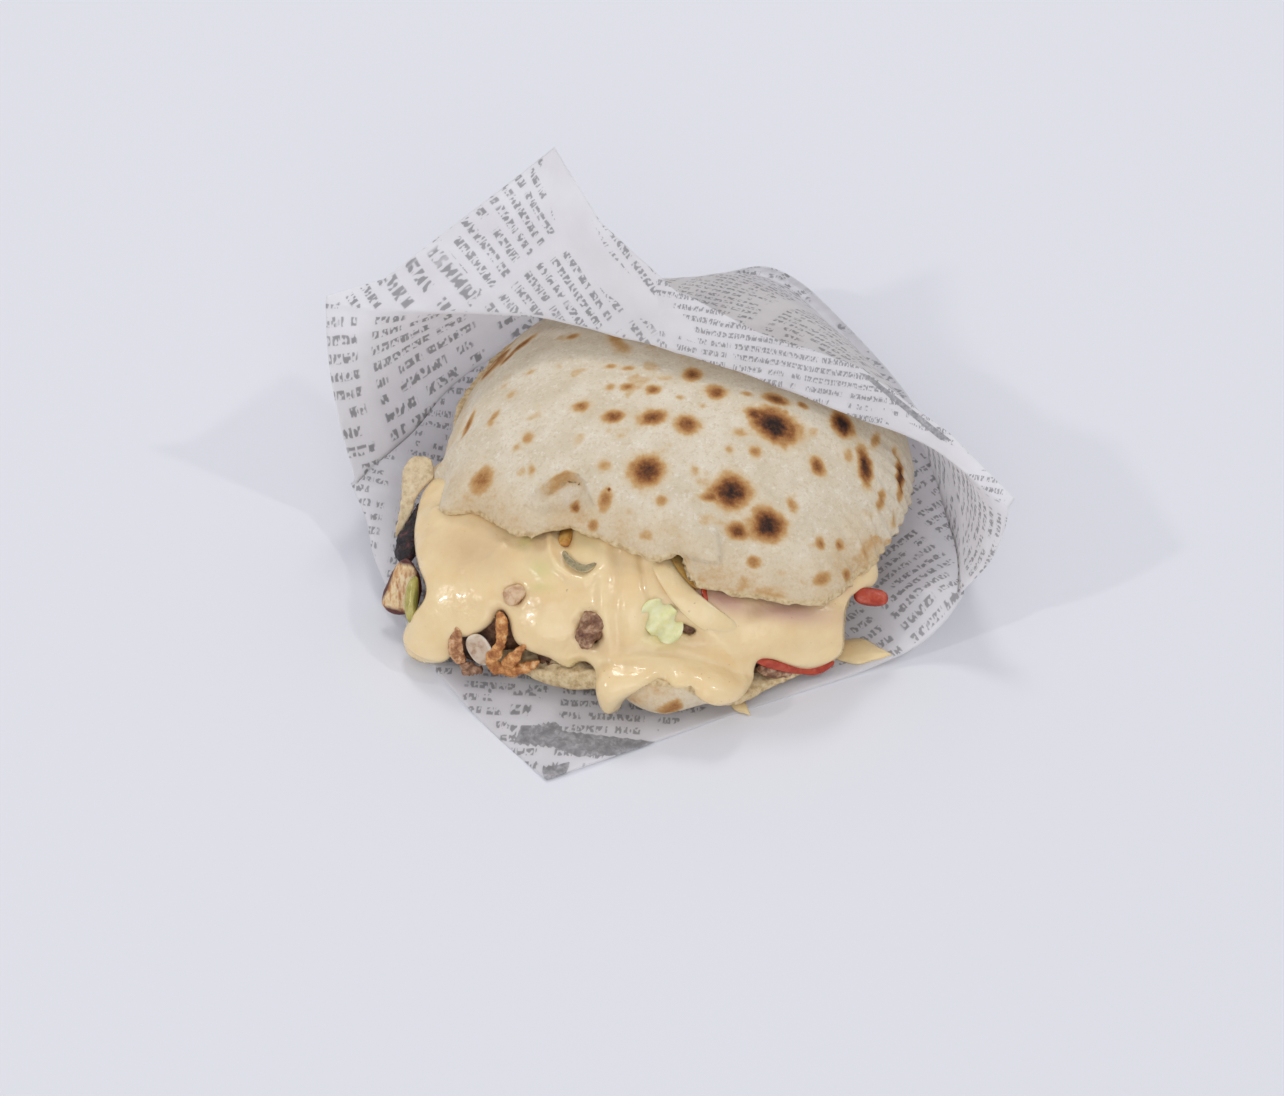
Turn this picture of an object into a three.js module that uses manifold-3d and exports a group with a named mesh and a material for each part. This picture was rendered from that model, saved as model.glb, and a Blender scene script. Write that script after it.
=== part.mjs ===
// A warm flatbread pocket filled with shawarma meat, salad and cheese sauce, lying in an open paper bag.
// Millimetres, +Z up. The bag lies flat on z = 0, the pocket's mouth opens towards -Y.
// Round parts are laid out in polar coordinates: an angle in degrees counted from +X, and a radius.
import * as THREE from "three";
import Module from "manifold-3d";

const wasm = await Module();
wasm.setup();

// ---------------------------------------------------------------- driving dimensions
const gap = 0.4; // air kept between neighbouring pieces

const bread = {
  centre: [2, 16],
  crownHeight: 68, // top of the puffed upper layer
  seamHeight: 28, // where both layers meet round the back
  thickness: 4.5,
  edgeThickness: 3.2,
  underside: 1.1, // the lower layer lies on the paper
  liftStart: 0.6, // share of the radius where the lower layer begins to curl up
};

// rim radius of the round bread, at angles in degrees
const rimRadius = [
  [0, 83], [30, 84], [60, 86], [90, 88], [120, 88], [150, 80], [178, 79], [189, 87], [205, 86],
  [240, 87], [270, 88], [300, 91], [312, 84], [322, 78], [335, 80],
];

// how far the rim of the lower layer curls up above the paper
const rimLift = [
  [0, 25], [45, 26], [90, 27], [135, 28], [175, 28], [186, 31], [192, 24], [199, 11], [210, 7],
  [235, 5], [255, 3], [270, 2], [300, 2], [316, 6], [330, 17], [344, 24],
];

// torn edge of the upper layer round the mouth: angle, radius, height
const mouthEdge = [
  [184, 82, 28], [189, 81, 29], [196, 79.5, 32], [204, 77, 36.5], [212, 74, 39.5], [222, 69, 42],
  [231, 63, 44], [240, 58.5, 45.5], [250, 59, 46], [260, 62, 46], [270, 61.5, 46], [274, 64, 44],
  [279, 70, 40], [289, 75, 36], [297, 80, 34], [305, 83, 32], [315, 83, 30], [325, 81, 29], [335, 80, 28],
];

// foot of the filling where it spills out of the mouth: angle, radius
const fillingFoot = [
  [186, 75], [192, 78], [198, 91], [206, 101], [216, 103], [226, 99], [236, 90], [246, 83],
  [270, 83], [290, 85], [305, 87], [315, 88], [323, 87], [331, 78], [336, 74],
];

// lower edge of the sauce: angle, share of the way down the spilled filling
const sauceHem = [
  [196.5, 0.34], [198, 0.42], [204, 0.5], [208, 0.56], [210.5, 0.74], [212.5, 1], [216, 1.05], [219.5, 0.99],
  [222, 0.76], [227, 0.62], [231, 0.74], [241, 0.9], [250.5, 0.94], [253.2, 1], [255.6, 1.22], [257.8, 1.36],
  [260, 1.22], [262.4, 0.99], [266, 0.97], [271, 0.95], [279, 1.07], [286, 1], [291, 0.82], [296, 0.84],
  [303, 0.95], [310, 0.93], [314, 0.72], [318, 0.4],
];

const sauce = { thickness: 3.2, edgeThickness: 1.5, steps: [56, 8] };

// lumps of the sauce: height, and waves along the mouth and down the heap
const sauceLumps = { height: 0.9, along: 0.28, down: 7, slant: 0.09 };

const paper = {
  thickness: 0.7,
  centre: [0, 15],
  seamWidth: 5,
  cornerSeam: 1.2,
  overlap: 0.9,
  liftStart: 0.6,
};

// the open front corner of the lower sheet: the cut edges left and right of it
const paperFrontLeft = [
  [-109, 23, 16], [-103, 9, 12], [-99, -7, 8], [-89, -29, 4], [-77, -51, 1], [-58, -77, 0], [-38, -100, 0],
];
const paperFrontRight = [
  [-38, -100, 0], [-4, -84, 0], [20, -72, 0], [57, -56, 0.5], [80, -46, 3], [91, -40, 9], [98, -35, 18],
];

// across the upper sheet, from its left corner to its right: share, then cut edge, fold, bulge, seam
const upperSheet = [
  [0, [-116, 57, 72], [-116, 56, 70], [-118, 42, 40], [-109, 23, 16]],
  [0.1, [-96, 60, 77], [-98, 52, 70], [-112, 64, 46], [-96, 60, 9]],
  [0.19, [-76, 71, 88], [-78, 51, 70], [-100, 90, 50], [-78, 92, 12]],
  [0.31, [-50, 87, 101], [-55, 47, 71], [-62, 112, 60], [-40, 122, 16]],
  [0.36, [-38, 95, 107], [-40, 43, 72], [-40, 112, 66], [-20, 130, 17]],
  [0.44, [-22, 68, 95], [-20, 34, 73], [-12, 94, 66], [10, 136, 18]],
  [0.525, [3, 44, 84], [4, 23, 74], [14, 92, 62], [42, 139, 22]],
  [0.65, [31, 28, 78], [30, 12, 72], [52, 78, 63], [74, 98, 18]],
  [0.79, [65, 22, 68], [60, 6, 62], [88, 44, 50], [96, 50, 14]],
  [0.91, [94, 6, 54], [88, 2, 51], [108, 14, 42], [103, 0, 13]],
  [1, [114, -18, 46], [112, -20, 44], [110, -32, 31], [98, -35, 18]],
];

// ---------------------------------------------------------------- small helpers
const radians = (degrees) => (degrees * Math.PI) / 180;
const clamp = (x, low, high) => Math.min(Math.max(x, low), high);
const mix = (a, b, share) => a + (b - a) * share;
const smooth = (x) => {
  const s = clamp(x, 0, 1);
  return s * s * (3 - 2 * s);
};

// smooth curve through [position, value] knots, with slopes taken from the neighbours
function through(knots, at, column = 1, period = 0) {
  const count = knots.length;
  const knot = (i) => {
    const turn = period ? Math.floor(i / count) : 0;
    const row = knots[period ? i - turn * count : clamp(i, 0, count - 1)];
    return [row[0] + turn * period, row[column]];
  };
  const turns = period ? Math.floor((at - knots[0][0]) / period) : 0;
  const x = period ? at - turns * period : clamp(at, knots[0][0], knots[count - 1][0]);
  let i = 0;
  while (i < count - (period ? 1 : 2) && x >= knot(i + 1)[0]) i += 1;
  const [a, b, c, d] = [knot(i - 1), knot(i), knot(i + 1), knot(i + 2)];
  const slope = (p, q, r) => (r[0] > p[0] ? (r[1] - p[1]) / (r[0] - p[0]) : 0);
  const width = c[0] - b[0];
  const s = (x - b[0]) / width;
  const left = slope(a, b, c) * width;
  const right = slope(b, c, d) * width;
  const s2 = s * s;
  const s3 = s2 * s;
  const ends = (2 * s3 - 3 * s2 + 1) * b[1] + (3 * s2 - 2 * s3) * c[1];
  return ends + (s3 - 2 * s2 + s) * left + (s3 - s2) * right;
}

// a triangle mesh from points and index triples
function meshFrom(points, triangles) {
  const geometry = new THREE.BufferGeometry();
  geometry.setAttribute("position", new THREE.BufferAttribute(new Float32Array(points.flat()), 3));
  geometry.setIndex(triangles.flat());
  return geometry;
}

// a closed plate between two grids of the same size, both faces split into triangles alike
function plate(upper, lower) {
  const rows = upper.length;
  const columns = upper[0].length;
  const points = [...upper.flat(), ...lower.flat()];
  const half = rows * columns;
  const top = (i, j) => i * columns + j;
  const low = (i, j) => half + i * columns + j;
  const triangles = [];
  const quad = (a, b, c, d) => triangles.push([a, b, c], [a, c, d]);
  for (let i = 0; i < rows - 1; i += 1) {
    for (let j = 0; j < columns - 1; j += 1) {
      quad(top(i, j), top(i, j + 1), top(i + 1, j + 1), top(i + 1, j));
      quad(low(i + 1, j + 1), low(i, j + 1), low(i, j), low(i + 1, j));
    }
  }
  for (let j = 0; j < columns - 1; j += 1) {
    quad(top(0, j + 1), top(0, j), low(0, j), low(0, j + 1));
    quad(top(rows - 1, j), top(rows - 1, j + 1), low(rows - 1, j + 1), low(rows - 1, j));
  }
  for (let i = 0; i < rows - 1; i += 1) {
    quad(top(i, 0), top(i + 1, 0), low(i + 1, 0), low(i, 0));
    quad(top(i + 1, columns - 1), top(i, columns - 1), low(i, columns - 1), low(i + 1, columns - 1));
  }
  return meshFrom(points, triangles);
}

// a closed round plate: rings of points from a middle point outwards, above and below
function roundPlate(upperMiddle, upperRings, lowerMiddle, lowerRings) {
  const rings = upperRings.length;
  const sides = upperRings[0].length;
  const points = [upperMiddle, ...upperRings.flat(), lowerMiddle, ...lowerRings.flat()];
  const half = 1 + rings * sides;
  const top = (i, j) => 1 + i * sides + (j % sides);
  const low = (i, j) => half + top(i, j);
  const triangles = [];
  const quad = (a, b, c, d) => triangles.push([a, b, c], [a, c, d]);
  for (let j = 0; j < sides; j += 1) {
    triangles.push([0, top(0, j), top(0, j + 1)], [half, low(0, j + 1), low(0, j)]);
    for (let i = 0; i < rings - 1; i += 1) {
      quad(top(i, j), top(i + 1, j), top(i + 1, j + 1), top(i, j + 1));
      quad(low(i + 1, j + 1), low(i + 1, j), low(i, j), low(i, j + 1));
    }
    const last = rings - 1;
    quad(top(last, j), low(last, j), low(last, j + 1), top(last, j + 1));
  }
  return meshFrom(points, triangles);
}

function solidOf(geometry) {
  const mesh = new wasm.Mesh({
    numProp: 3,
    vertProperties: geometry.attributes.position.array,
    triVerts: new Uint32Array(geometry.index.array),
  });
  return new wasm.Manifold(mesh);
}

function geometryOf(solid) {
  const mesh = solid.getMesh();
  const geometry = new THREE.BufferGeometry();
  geometry.setAttribute("position", new THREE.BufferAttribute(Float32Array.from(mesh.vertProperties), 3));
  geometry.setIndex(Array.from(mesh.triVerts));
  return geometry;
}

// ---------------------------------------------------------------- paper bag's shape
const seamWidthAt = (at) => mix(paper.cornerSeam, paper.seamWidth, smooth(Math.min(at, 1 - at) / 0.12));
const inwards = ([x, y, z], distance) => {
  const [cx, cy] = paper.centre;
  const reach = Math.hypot(x - cx, y - cy);
  const share = distance / reach;
  return [mix(x, cx, share), mix(y, cy, share), z];
};

const sheetColumn = (column, at, axis) => through(upperSheet.map((row) => [row[0], row[column][axis]]), at);
const foldAt = (at) => [0, 1, 2].map((axis) => sheetColumn(2, at, axis));
const bulgeAt = (at) => [0, 1, 2].map((axis) => sheetColumn(3, at, axis));
const seamAt = (at) => [0, 1, 2].map((axis) => sheetColumn(4, at, axis));

// the cut edge runs straight between its corners
function cutEdgeAt(at) {
  let i = 0;
  while (i < upperSheet.length - 2 && at > upperSheet[i + 1][0]) i += 1;
  const [from, to] = [upperSheet[i], upperSheet[i + 1]];
  const share = (at - from[0]) / (to[0] - from[0]);
  return [0, 1, 2].map((axis) => mix(from[1][axis], to[1][axis], share));
}

const edgeThrough = (points, at) => {
  const knots = points.map((point, i) => [i / (points.length - 1), ...point]);
  return [1, 2, 3].map((axis) => through(knots, at, axis));
};

// three steps between neighbouring rows of the upper sheet's list
const rowSteps = 3;
const acrossSteps = rowSteps * (upperSheet.length - 1);
const across = Array.from({ length: acrossSteps + 1 }, (_, j) => {
  const row = Math.min(Math.floor(j / rowSteps), upperSheet.length - 2);
  return mix(upperSheet[row][0], upperSheet[row + 1][0], j / rowSteps - row);
});

// the lower sheet's outline, once round: the two cut edges, then the seam
function sheetOutline() {
  const edgeSteps = 8;
  const outline = [];
  const add = (point, width) => outline.push({ point, inner: inwards(point, width) });
  for (let j = 0; j < edgeSteps; j += 1) add(edgeThrough(paperFrontLeft, j / edgeSteps), paper.cornerSeam);
  for (let j = 0; j < edgeSteps; j += 1) add(edgeThrough(paperFrontRight, j / edgeSteps), paper.cornerSeam);
  for (let j = acrossSteps; j > 0; j -= 1) add(seamAt(across[j]), seamWidthAt(across[j]));
  return outline;
}

const outline = sheetOutline();
const paperLift = (share) => smooth((share - paper.liftStart) / (1 - paper.liftStart));

// the same outline seen from the sheet's middle: angle, radius, height, in rising order of angle
const outlineByAngle = outline
  .map(({ inner: [x, y, z] }) => {
    const [dx, dy] = [x - paper.centre[0], y - paper.centre[1]];
    return [(Math.atan2(dy, dx) * 180) / Math.PI, Math.hypot(dx, dy), z];
  })
  .sort((a, b) => a[0] - b[0]);

function paperTop(x, y) {
  const [dx, dy] = [x - paper.centre[0], y - paper.centre[1]];
  const angle = (Math.atan2(dy, dx) * 180) / Math.PI;
  const share = Math.hypot(dx, dy) / through(outlineByAngle, angle, 1, 360);
  return paper.thickness + through(outlineByAngle, angle, 2, 360) * paperLift(share);
}

// ---------------------------------------------------------------- flatbread pocket
const atPolar = (radius, angle, height) => [
  bread.centre[0] + radius * Math.cos(radians(angle)),
  bread.centre[1] + radius * Math.sin(radians(angle)),
  height,
];

// bread and filling share these directions
const sides = 60;
const angles = Array.from({ length: sides }, (_, j) => (360 * j) / sides);

const rimAt = (angle) => through(rimRadius, angle, 1, 360);
const inMouth = (angle) => angle > mouthEdge[0][0] && angle < mouthEdge[mouthEdge.length - 1][0];
const openness = (angle) => smooth((angle - 184) / 12) * smooth((338 - angle) / 16);
const domeOpenness = (angle) => smooth((angle - 162) / 60) * smooth((360 - angle) / 60);

function upperEdge(angle) {
  if (!inMouth(angle)) return { radius: rimAt(angle), height: bread.seamHeight };
  return { radius: through(mouthEdge, angle, 1), height: through(mouthEdge, angle, 2) };
}

// the dome: steep by the closed seam, gentler by the mouth
function upperSkin(share, angle) {
  const edge = upperEdge(angle);
  const open = domeOpenness(angle);
  const fall = (1 - share ** mix(2.6, 2, open)) ** mix(0.62, 0.85, open);
  return { radius: share * edge.radius, height: edge.height + (bread.crownHeight - edge.height) * fall };
}

function lowerSkin(radius, angle) {
  const curl = smooth((radius / rimAt(angle) - bread.liftStart) / (1 - bread.liftStart)) ** 1.2;
  return bread.underside + through(rimLift, angle, 1, 360) * curl;
}

const lowerThickness = (share) => mix(bread.thickness, bread.edgeThickness, smooth((share - 0.8) / 0.2));
const lowerTop = (radius, angle) => lowerSkin(radius, angle) + lowerThickness(radius / rimAt(angle));

function breadLayer(skin, inner, rings) {
  const upper = [];
  const lower = [];
  for (let i = 1; i <= rings; i += 1) {
    const share = 1 - (1 - i / rings) ** 1.5;
    upper.push(angles.map((angle) => skin(share, angle)));
    lower.push(angles.map((angle) => inner(share, angle)));
  }
  return roundPlate(skin(0, 0), upper, inner(0, 0), lower);
}

function flatbread() {
  const upperPoint = (share, angle) => {
    const { radius, height } = upperSkin(share, angle);
    return atPolar(radius, angle, height);
  };
  const innerPoint = (share, angle) => {
    // pushed in square to the dome's slope
    const here = upperSkin(share, angle);
    const before = upperSkin(Math.max(share - 0.04, 0), angle);
    const run = Math.max(here.radius - before.radius, 1e-3);
    const drop = before.height - here.height;
    const length = Math.hypot(run, drop);
    const thick = mix(bread.thickness, bread.edgeThickness, smooth((share - 0.85) / 0.15));
    const inward = share === 0 ? 0 : (thick * drop) / length;
    const down = share === 0 ? thick : (thick * run) / length;
    return atPolar(Math.max(here.radius - inward, 0), angle, here.height - down);
  };
  const upperLayer = breadLayer(upperPoint, innerPoint, 7);
  const lowerLayer = breadLayer(
    (share, angle) => atPolar(share * rimAt(angle), angle, lowerTop(share * rimAt(angle), angle)),
    (share, angle) => atPolar(share * rimAt(angle), angle, lowerSkin(share * rimAt(angle), angle)),
    6,
  );
  return geometryOf(solidOf(upperLayer).add(solidOf(lowerLayer)));
}

// ---------------------------------------------------------------- filling
const underBread = { closed: 7.5, mouth: 12.8 }; // how far the filling's top lies below the dome
const coreSide = { start: 0.8, end: 0.87, height: 32 };
const coreInset = { middle: 0.5, sides: 3.2 }; // how far the core lies below the heap's surface
const heapBulge = 1.15;

// the spilled filling's surface: share 0 under the torn bread edge, 1 at its foot
function heapEnds(angle) {
  const open = openness(angle);
  const rim = rimAt(angle);
  const edge = upperEdge(angle);
  const topRadius = mix(coreSide.start * rim, edge.radius - 6, open);
  const topShare = topRadius / edge.radius;
  const topHeight = upperSkin(topShare, angle).height - mix(underBread.closed, underBread.mouth, open);
  const foot = through(fillingFoot, clamp(angle, 186, 336), 1);
  const footRadius = mix(coreSide.end * rim, foot, open);
  const outside = smooth((foot - rim - 1) / 3);
  const [footX, footY] = atPolar(foot, angle, 0);
  const footHeight = mix(lowerTop(Math.min(foot, rim), angle) + 1.4, paperTop(footX, footY) + 2, outside);
  return { topRadius, topHeight, footRadius, footHeight: mix(coreSide.height, footHeight, open) };
}

function heapPoint(share, angle) {
  const ends = heapEnds(angle);
  const turn = (Math.PI / 2) * Math.min(share, 1);
  const beyond = Math.max(share - 1, 0);
  const radius = mix(ends.topRadius, ends.footRadius, Math.sin(turn) ** heapBulge) + beyond * 26;
  const height = mix(ends.footHeight, ends.topHeight, Math.cos(turn));
  const [x, y] = atPolar(radius, angle, 0);
  const rim = rimAt(angle);
  const overRim = lowerTop(Math.min(radius, rim), angle) + 1.7 + 2.8 * smooth((share - 0.9) / 0.12);
  const floor = mix(overRim, paperTop(x, y) + gap, smooth((radius - rim - 0.5) / 3));
  return [x, y, Math.max(height - beyond * 30, floor)];
}

function heapNormal(share, angle) {
  const here = new THREE.Vector3(...heapPoint(share, angle));
  const along = new THREE.Vector3(...heapPoint(share, angle + 1)).sub(here);
  const down = new THREE.Vector3(...heapPoint(share + 0.03, angle)).sub(here);
  return down.cross(along).normalize();
}

function offHeap(share, angle, away) {
  const normal = heapNormal(share, angle);
  const [x, y, z] = heapPoint(share, angle);
  return [x + normal.x * away, y + normal.y * away, z + normal.z * away];
}

// the share of the way from rim to paper that the core spills, and where its foot then is
const spillAt = (angle) => smooth((angle - 202) / 8) * smooth((234 - angle) / 6);
const coreFootAt = (angle) => {
  const foot = heapEnds(angle).footRadius;
  return mix(Math.min(foot, rimAt(angle) - 1), foot, smooth((angle - 200) / 3) * smooth((240 - angle) / 4));
};

// the share down the heap at which a radius is reached
function shareAtRadius(radius, angle) {
  const ends = heapEnds(angle);
  const part = clamp((radius - ends.topRadius) / (ends.footRadius - ends.topRadius), 0, 1);
  return Math.asin(part ** (1 / heapBulge)) / (Math.PI / 2);
}

function fillingCore() {
  const pocketRings = 2;
  const heapRings = 5;
  const rings = pocketRings + heapRings;
  const upper = [];
  const lower = [];
  for (let i = 1; i <= pocketRings; i += 1) {
    upper.push(angles.map((angle) => {
      const radius = (heapEnds(angle).topRadius * i) / pocketRings;
      const room = mix(underBread.closed, underBread.mouth + 1.4, openness(angle) * (i / pocketRings) ** 2);
      return atPolar(radius, angle, upperSkin(radius / upperEdge(angle).radius, angle).height - room);
    }));
  }
  for (let i = 1; i <= heapRings; i += 1) {
    upper.push(angles.map((angle) => {
      const share = (shareAtRadius(coreFootAt(angle), angle) * i) / heapRings;
      const atSides = smooth(Math.min(angle - 184, 336 - angle) / 22);
      return offHeap(share, angle, i < heapRings ? -mix(coreInset.sides, coreInset.middle, atSides) : 0);
    }));
  }
  for (let i = 1; i <= rings; i += 1) {
    lower.push(angles.map((angle) => {
      const foot = coreFootAt(angle);
      const rim = rimAt(angle);
      const onBread = Math.min(rim + 1.5, foot - 2);
      const reach = [(onBread * i) / (rings - 2), Math.min(rim + 3, foot - 1), foot];
      const radius = reach[Math.max(i - rings + 2, 0)];
      const [x, y] = atPolar(radius, angle, 0);
      const room = mix(0.7, 3.2, smooth((radius / rim - 0.5) / 0.25));
      const onBreadTop = lowerTop(Math.min(radius, rim), angle) + (i === rings ? Math.min(room, 1) : room);
      const spill = i >= rings - 1 ? spillAt(angle) : 0;
      const floor = mix(onBreadTop, paperTop(x, y) + 1, spill);
      const atClosedFoot = openness(angle) < 1 && i === rings;
      const height = atClosedFoot ? Math.max(floor, heapEnds(angle).footHeight - 2) : floor;
      return [x, y, height];
    }));
  }
  const crown = [...bread.centre, bread.crownHeight - underBread.closed];
  const base = [...bread.centre, lowerTop(0, 0) + 0.7];
  return roundPlate(crown, upper, base, lower);
}

// a piece lying on the heap: an oval plate bent to the heap's surface
// angle and share place it; length and width are halves; low and high are its faces' heights above the heap;
// a straight one stays a flat plate instead
function heapPiece(spec) {
  const { angle, share, length, width, turn = 0, straight = false } = spec;
  const { low = gap, high, bumps = 0, grow = 0 } = spec;
  const rings = 2;
  const corners = 14;
  const here = new THREE.Vector3(...heapPoint(share, angle));
  const perDegree = new THREE.Vector3(...heapPoint(share, angle + 1)).sub(here);
  const perShare = new THREE.Vector3(...heapPoint(share + 0.02, angle)).sub(here).divideScalar(0.02);
  const normal = heapNormal(share, angle);
  const place = (ring, side, away) => {
    const swing = (-2 * Math.PI * side) / corners;
    const reach = ring / rings;
    const p = reach * (length + grow) * Math.cos(swing);
    const q = reach * (width + grow) * Math.sin(swing);
    const c = Math.cos(radians(turn));
    const s = Math.sin(radians(turn));
    const across = (p * c - q * s) / perDegree.length();
    const down = (p * s + q * c) / perShare.length();
    if (!straight) return offHeap(share + down, angle + across, away);
    const point = here.clone().addScaledVector(perDegree, across).addScaledVector(perShare, down);
    return point.addScaledVector(normal, away).toArray();
  };
  const bump = (i, j) => bumps * Math.sin(i * 2.1 + angle) * Math.cos(j * 1.9 + share * 9);
  const face = (middle, away) => ({
    centre: place(0, 0, middle),
    rings: Array.from({ length: rings }, (_, i) =>
      Array.from({ length: corners }, (_, j) => place(i + 1, j, away(i + 1, j)))),
  });
  const domed = (i) => mix(high, low + 0.35 * (high - low), (i / rings) ** 3);
  const top = face(high + grow, (i, j) => domed(i) + bump(i, j) + grow);
  const bottom = face(low - grow, () => low - grow);
  return roundPlate(top.centre, top.rings, bottom.centre, bottom.rings);
}

// ---------------------------------------------------------------- cheese sauce
function sauceBlanket() {
  const [across, down] = sauce.steps;
  const first = sauceHem[0][0];
  const last = sauceHem[sauceHem.length - 1][0];
  const outer = [];
  const inner = [];
  for (let i = 0; i <= down; i += 1) {
    const outerRow = [];
    const innerRow = [];
    for (let j = 0; j <= across; j += 1) {
      const angle = mix(first, last, j / across);
      const hem = through(sauceHem, angle);
      const start = mix(0.16, 0.02, smooth((angle - first) / 9));
      const share = mix(start, hem, i / down);
      const sideEdge = Math.min(j, across - j) / 3;
      const hemEdge = (down - i) / 2.5;
      const body = mix(sauce.edgeThickness, sauce.thickness, smooth(Math.min(sideEdge, hemEdge)));
      const downWave = Math.sin(share * sauceLumps.down + angle * sauceLumps.slant);
      const wave = Math.sin(angle * sauceLumps.along) * downWave;
      const lump = sauceLumps.height * wave * smooth(Math.min(sideEdge, hemEdge, i / 2));
      outerRow.push(offHeap(share, angle, gap + body + lump));
      innerRow.push(offHeap(share, angle, gap));
    }
    outer.push(outerRow);
    inner.push(innerRow);
  }
  return plate(outer.reverse(), inner.reverse());
}

// sauce that ran on to the paper: centre, half length, half width, turn in degrees, taper towards its far end
const puddles = {
  sauce_splash: { centre: [66, -45.6], length: 8, width: 4, turn: -16, taper: 0.8, high: 1.9 },
  sauce_drop: { centre: [23.5, -67], length: 3.4, width: 1.8, turn: -50, taper: 0.3, high: 1.5 },
};

function puddle({ centre: [cx, cy], length, width, turn, taper, high }) {
  const rings = 2;
  const corners = 14;
  const [c, s] = [Math.cos(radians(turn)), Math.sin(radians(turn))];
  const place = (ring, corner, away) => {
    const swing = (2 * Math.PI * corner) / corners;
    const along = (ring / rings) * Math.cos(swing);
    const across = (ring / rings) * Math.sin(swing) * (1 - taper * Math.max(along, 0));
    const x = cx + along * length * c - across * width * s;
    const y = cy + along * length * s + across * width * c;
    return [x, y, paperTop(x, y) + gap + away];
  };
  const layer = (away) => Array.from({ length: rings }, (_, i) =>
    Array.from({ length: corners }, (_, j) => place(i + 1, j, away(i + 1))));
  const upper = layer((ring) => mix(high, 0.4 * high, (ring / rings) ** 2));
  return roundPlate(place(0, 0, high), upper, place(0, 0, 0), layer(() => 0));
}

// ---------------------------------------------------------------- pieces of the filling that show
const pieces = {
  charred_strip: {
    angle: 199, share: 0.76, length: 8, width: 4, turn: 80,
    low: 2, high: 6.2, bumps: 0.4, straight: true, colour: 0x312b31,
  },
  grilled_piece: {
    angle: 204.2, share: 0.86, length: 10, width: 5, turn: 80,
    low: 0.8, high: 6.5, bumps: 0.5, colour: 0xc4a47b,
  },
  pickle_wedge: {
    angle: 209.6, share: 0.76, length: 8, width: 2.6, turn: 80,
    high: 3.6, colour: 0x9f8954,
  },
  meat_shaving: {
    angle: 224.4, share: 0.88, length: 8, width: 4, turn: 70,
    high: 5, bumps: 0.5, colour: 0x8b6b55,
  },
  onion_slice: {
    angle: 229.4, share: 0.9, length: 4.4, width: 3.2, turn: 20,
    high: 3, colour: 0xac8d73,
  },
  crisp_meat: {
    angle: 235.6, share: 0.8, length: 8, width: 6.5, turn: 30,
    high: 5.5, bumps: 0.6, colour: 0xaa794c,
  },
  chicken_chunk: {
    angle: 232, share: 0.42, length: 4.6, width: 3.6, turn: 20,
    high: 4.4, bumps: 0.3, colour: 0xcda87c,
  },
  minced_chunk: {
    angle: 251.5, share: 0.62, length: 5.4, width: 4.6, turn: 50,
    high: 6, bumps: 0.6, colour: 0x6e5a50,
  },
  cucumber_slice: {
    angle: 246, share: 0.2, length: 7.4, width: 6, turn: 10,
    high: 4.4, colour: 0xd2c19b,
  },
  lettuce_leaf: {
    angle: 267.5, share: 0.54, length: 5.8, width: 6.4, turn: 10,
    high: 5, bumps: 0.9, colour: 0xd3c280,
  },
  cheese_slice: {
    angle: 274.5, share: 0.38, length: 14, width: 4, turn: 48,
    high: 4.6, colour: 0xedd7af,
  },
  tomato_slice_upper: {
    angle: 280, share: 0.16, length: 5.4, width: 2.6, turn: 36,
    high: 3.6, colour: 0xb5532a,
  },
  tomato_slice_front: {
    angle: 298, share: 0.87, length: 13, width: 2.6, turn: -4,
    high: 2.6, colour: 0x97481f,
  },
  tomato_slice_side: {
    angle: 321, share: 0.5, length: 6, width: 3.6, turn: -20,
    low: 2, high: 7.5, colour: 0xb5532a,
  },
};

const looks = {
  flatbread: { color: 0xd3c8b4, roughness: 0.85 },
  paper_bag: { color: 0xdedde2, roughness: 0.7 },
  cheese_sauce: { color: 0xead0a1, roughness: 0.3 },
  filling_core: { color: 0x8b6b55, roughness: 0.7 },
};

// ---------------------------------------------------------------- paper bag
function lowerSheet() {
  const shares = [0.35, 0.6, 0.7, 0.8, 0.9, 1];
  const middle = paper.thickness / 2;
  const sheet = Array.from({ length: shares.length + 1 }, (_, i) => outline.map(({ point, inner }) => {
    if (i === shares.length) return [point[0], point[1], point[2] + middle];
    const share = shares[i];
    const height = inner[2] * paperLift(share) + middle;
    return [mix(paper.centre[0], inner[0], share), mix(paper.centre[1], inner[1], share), height];
  }));
  const shift = (offset) => sheet.map((ring) => ring.map(([x, y, z]) => [x, y, z + offset]));
  return roundPlate([...paper.centre, 2 * middle], shift(middle), [...paper.centre, 0], shift(-middle));
}

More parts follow.
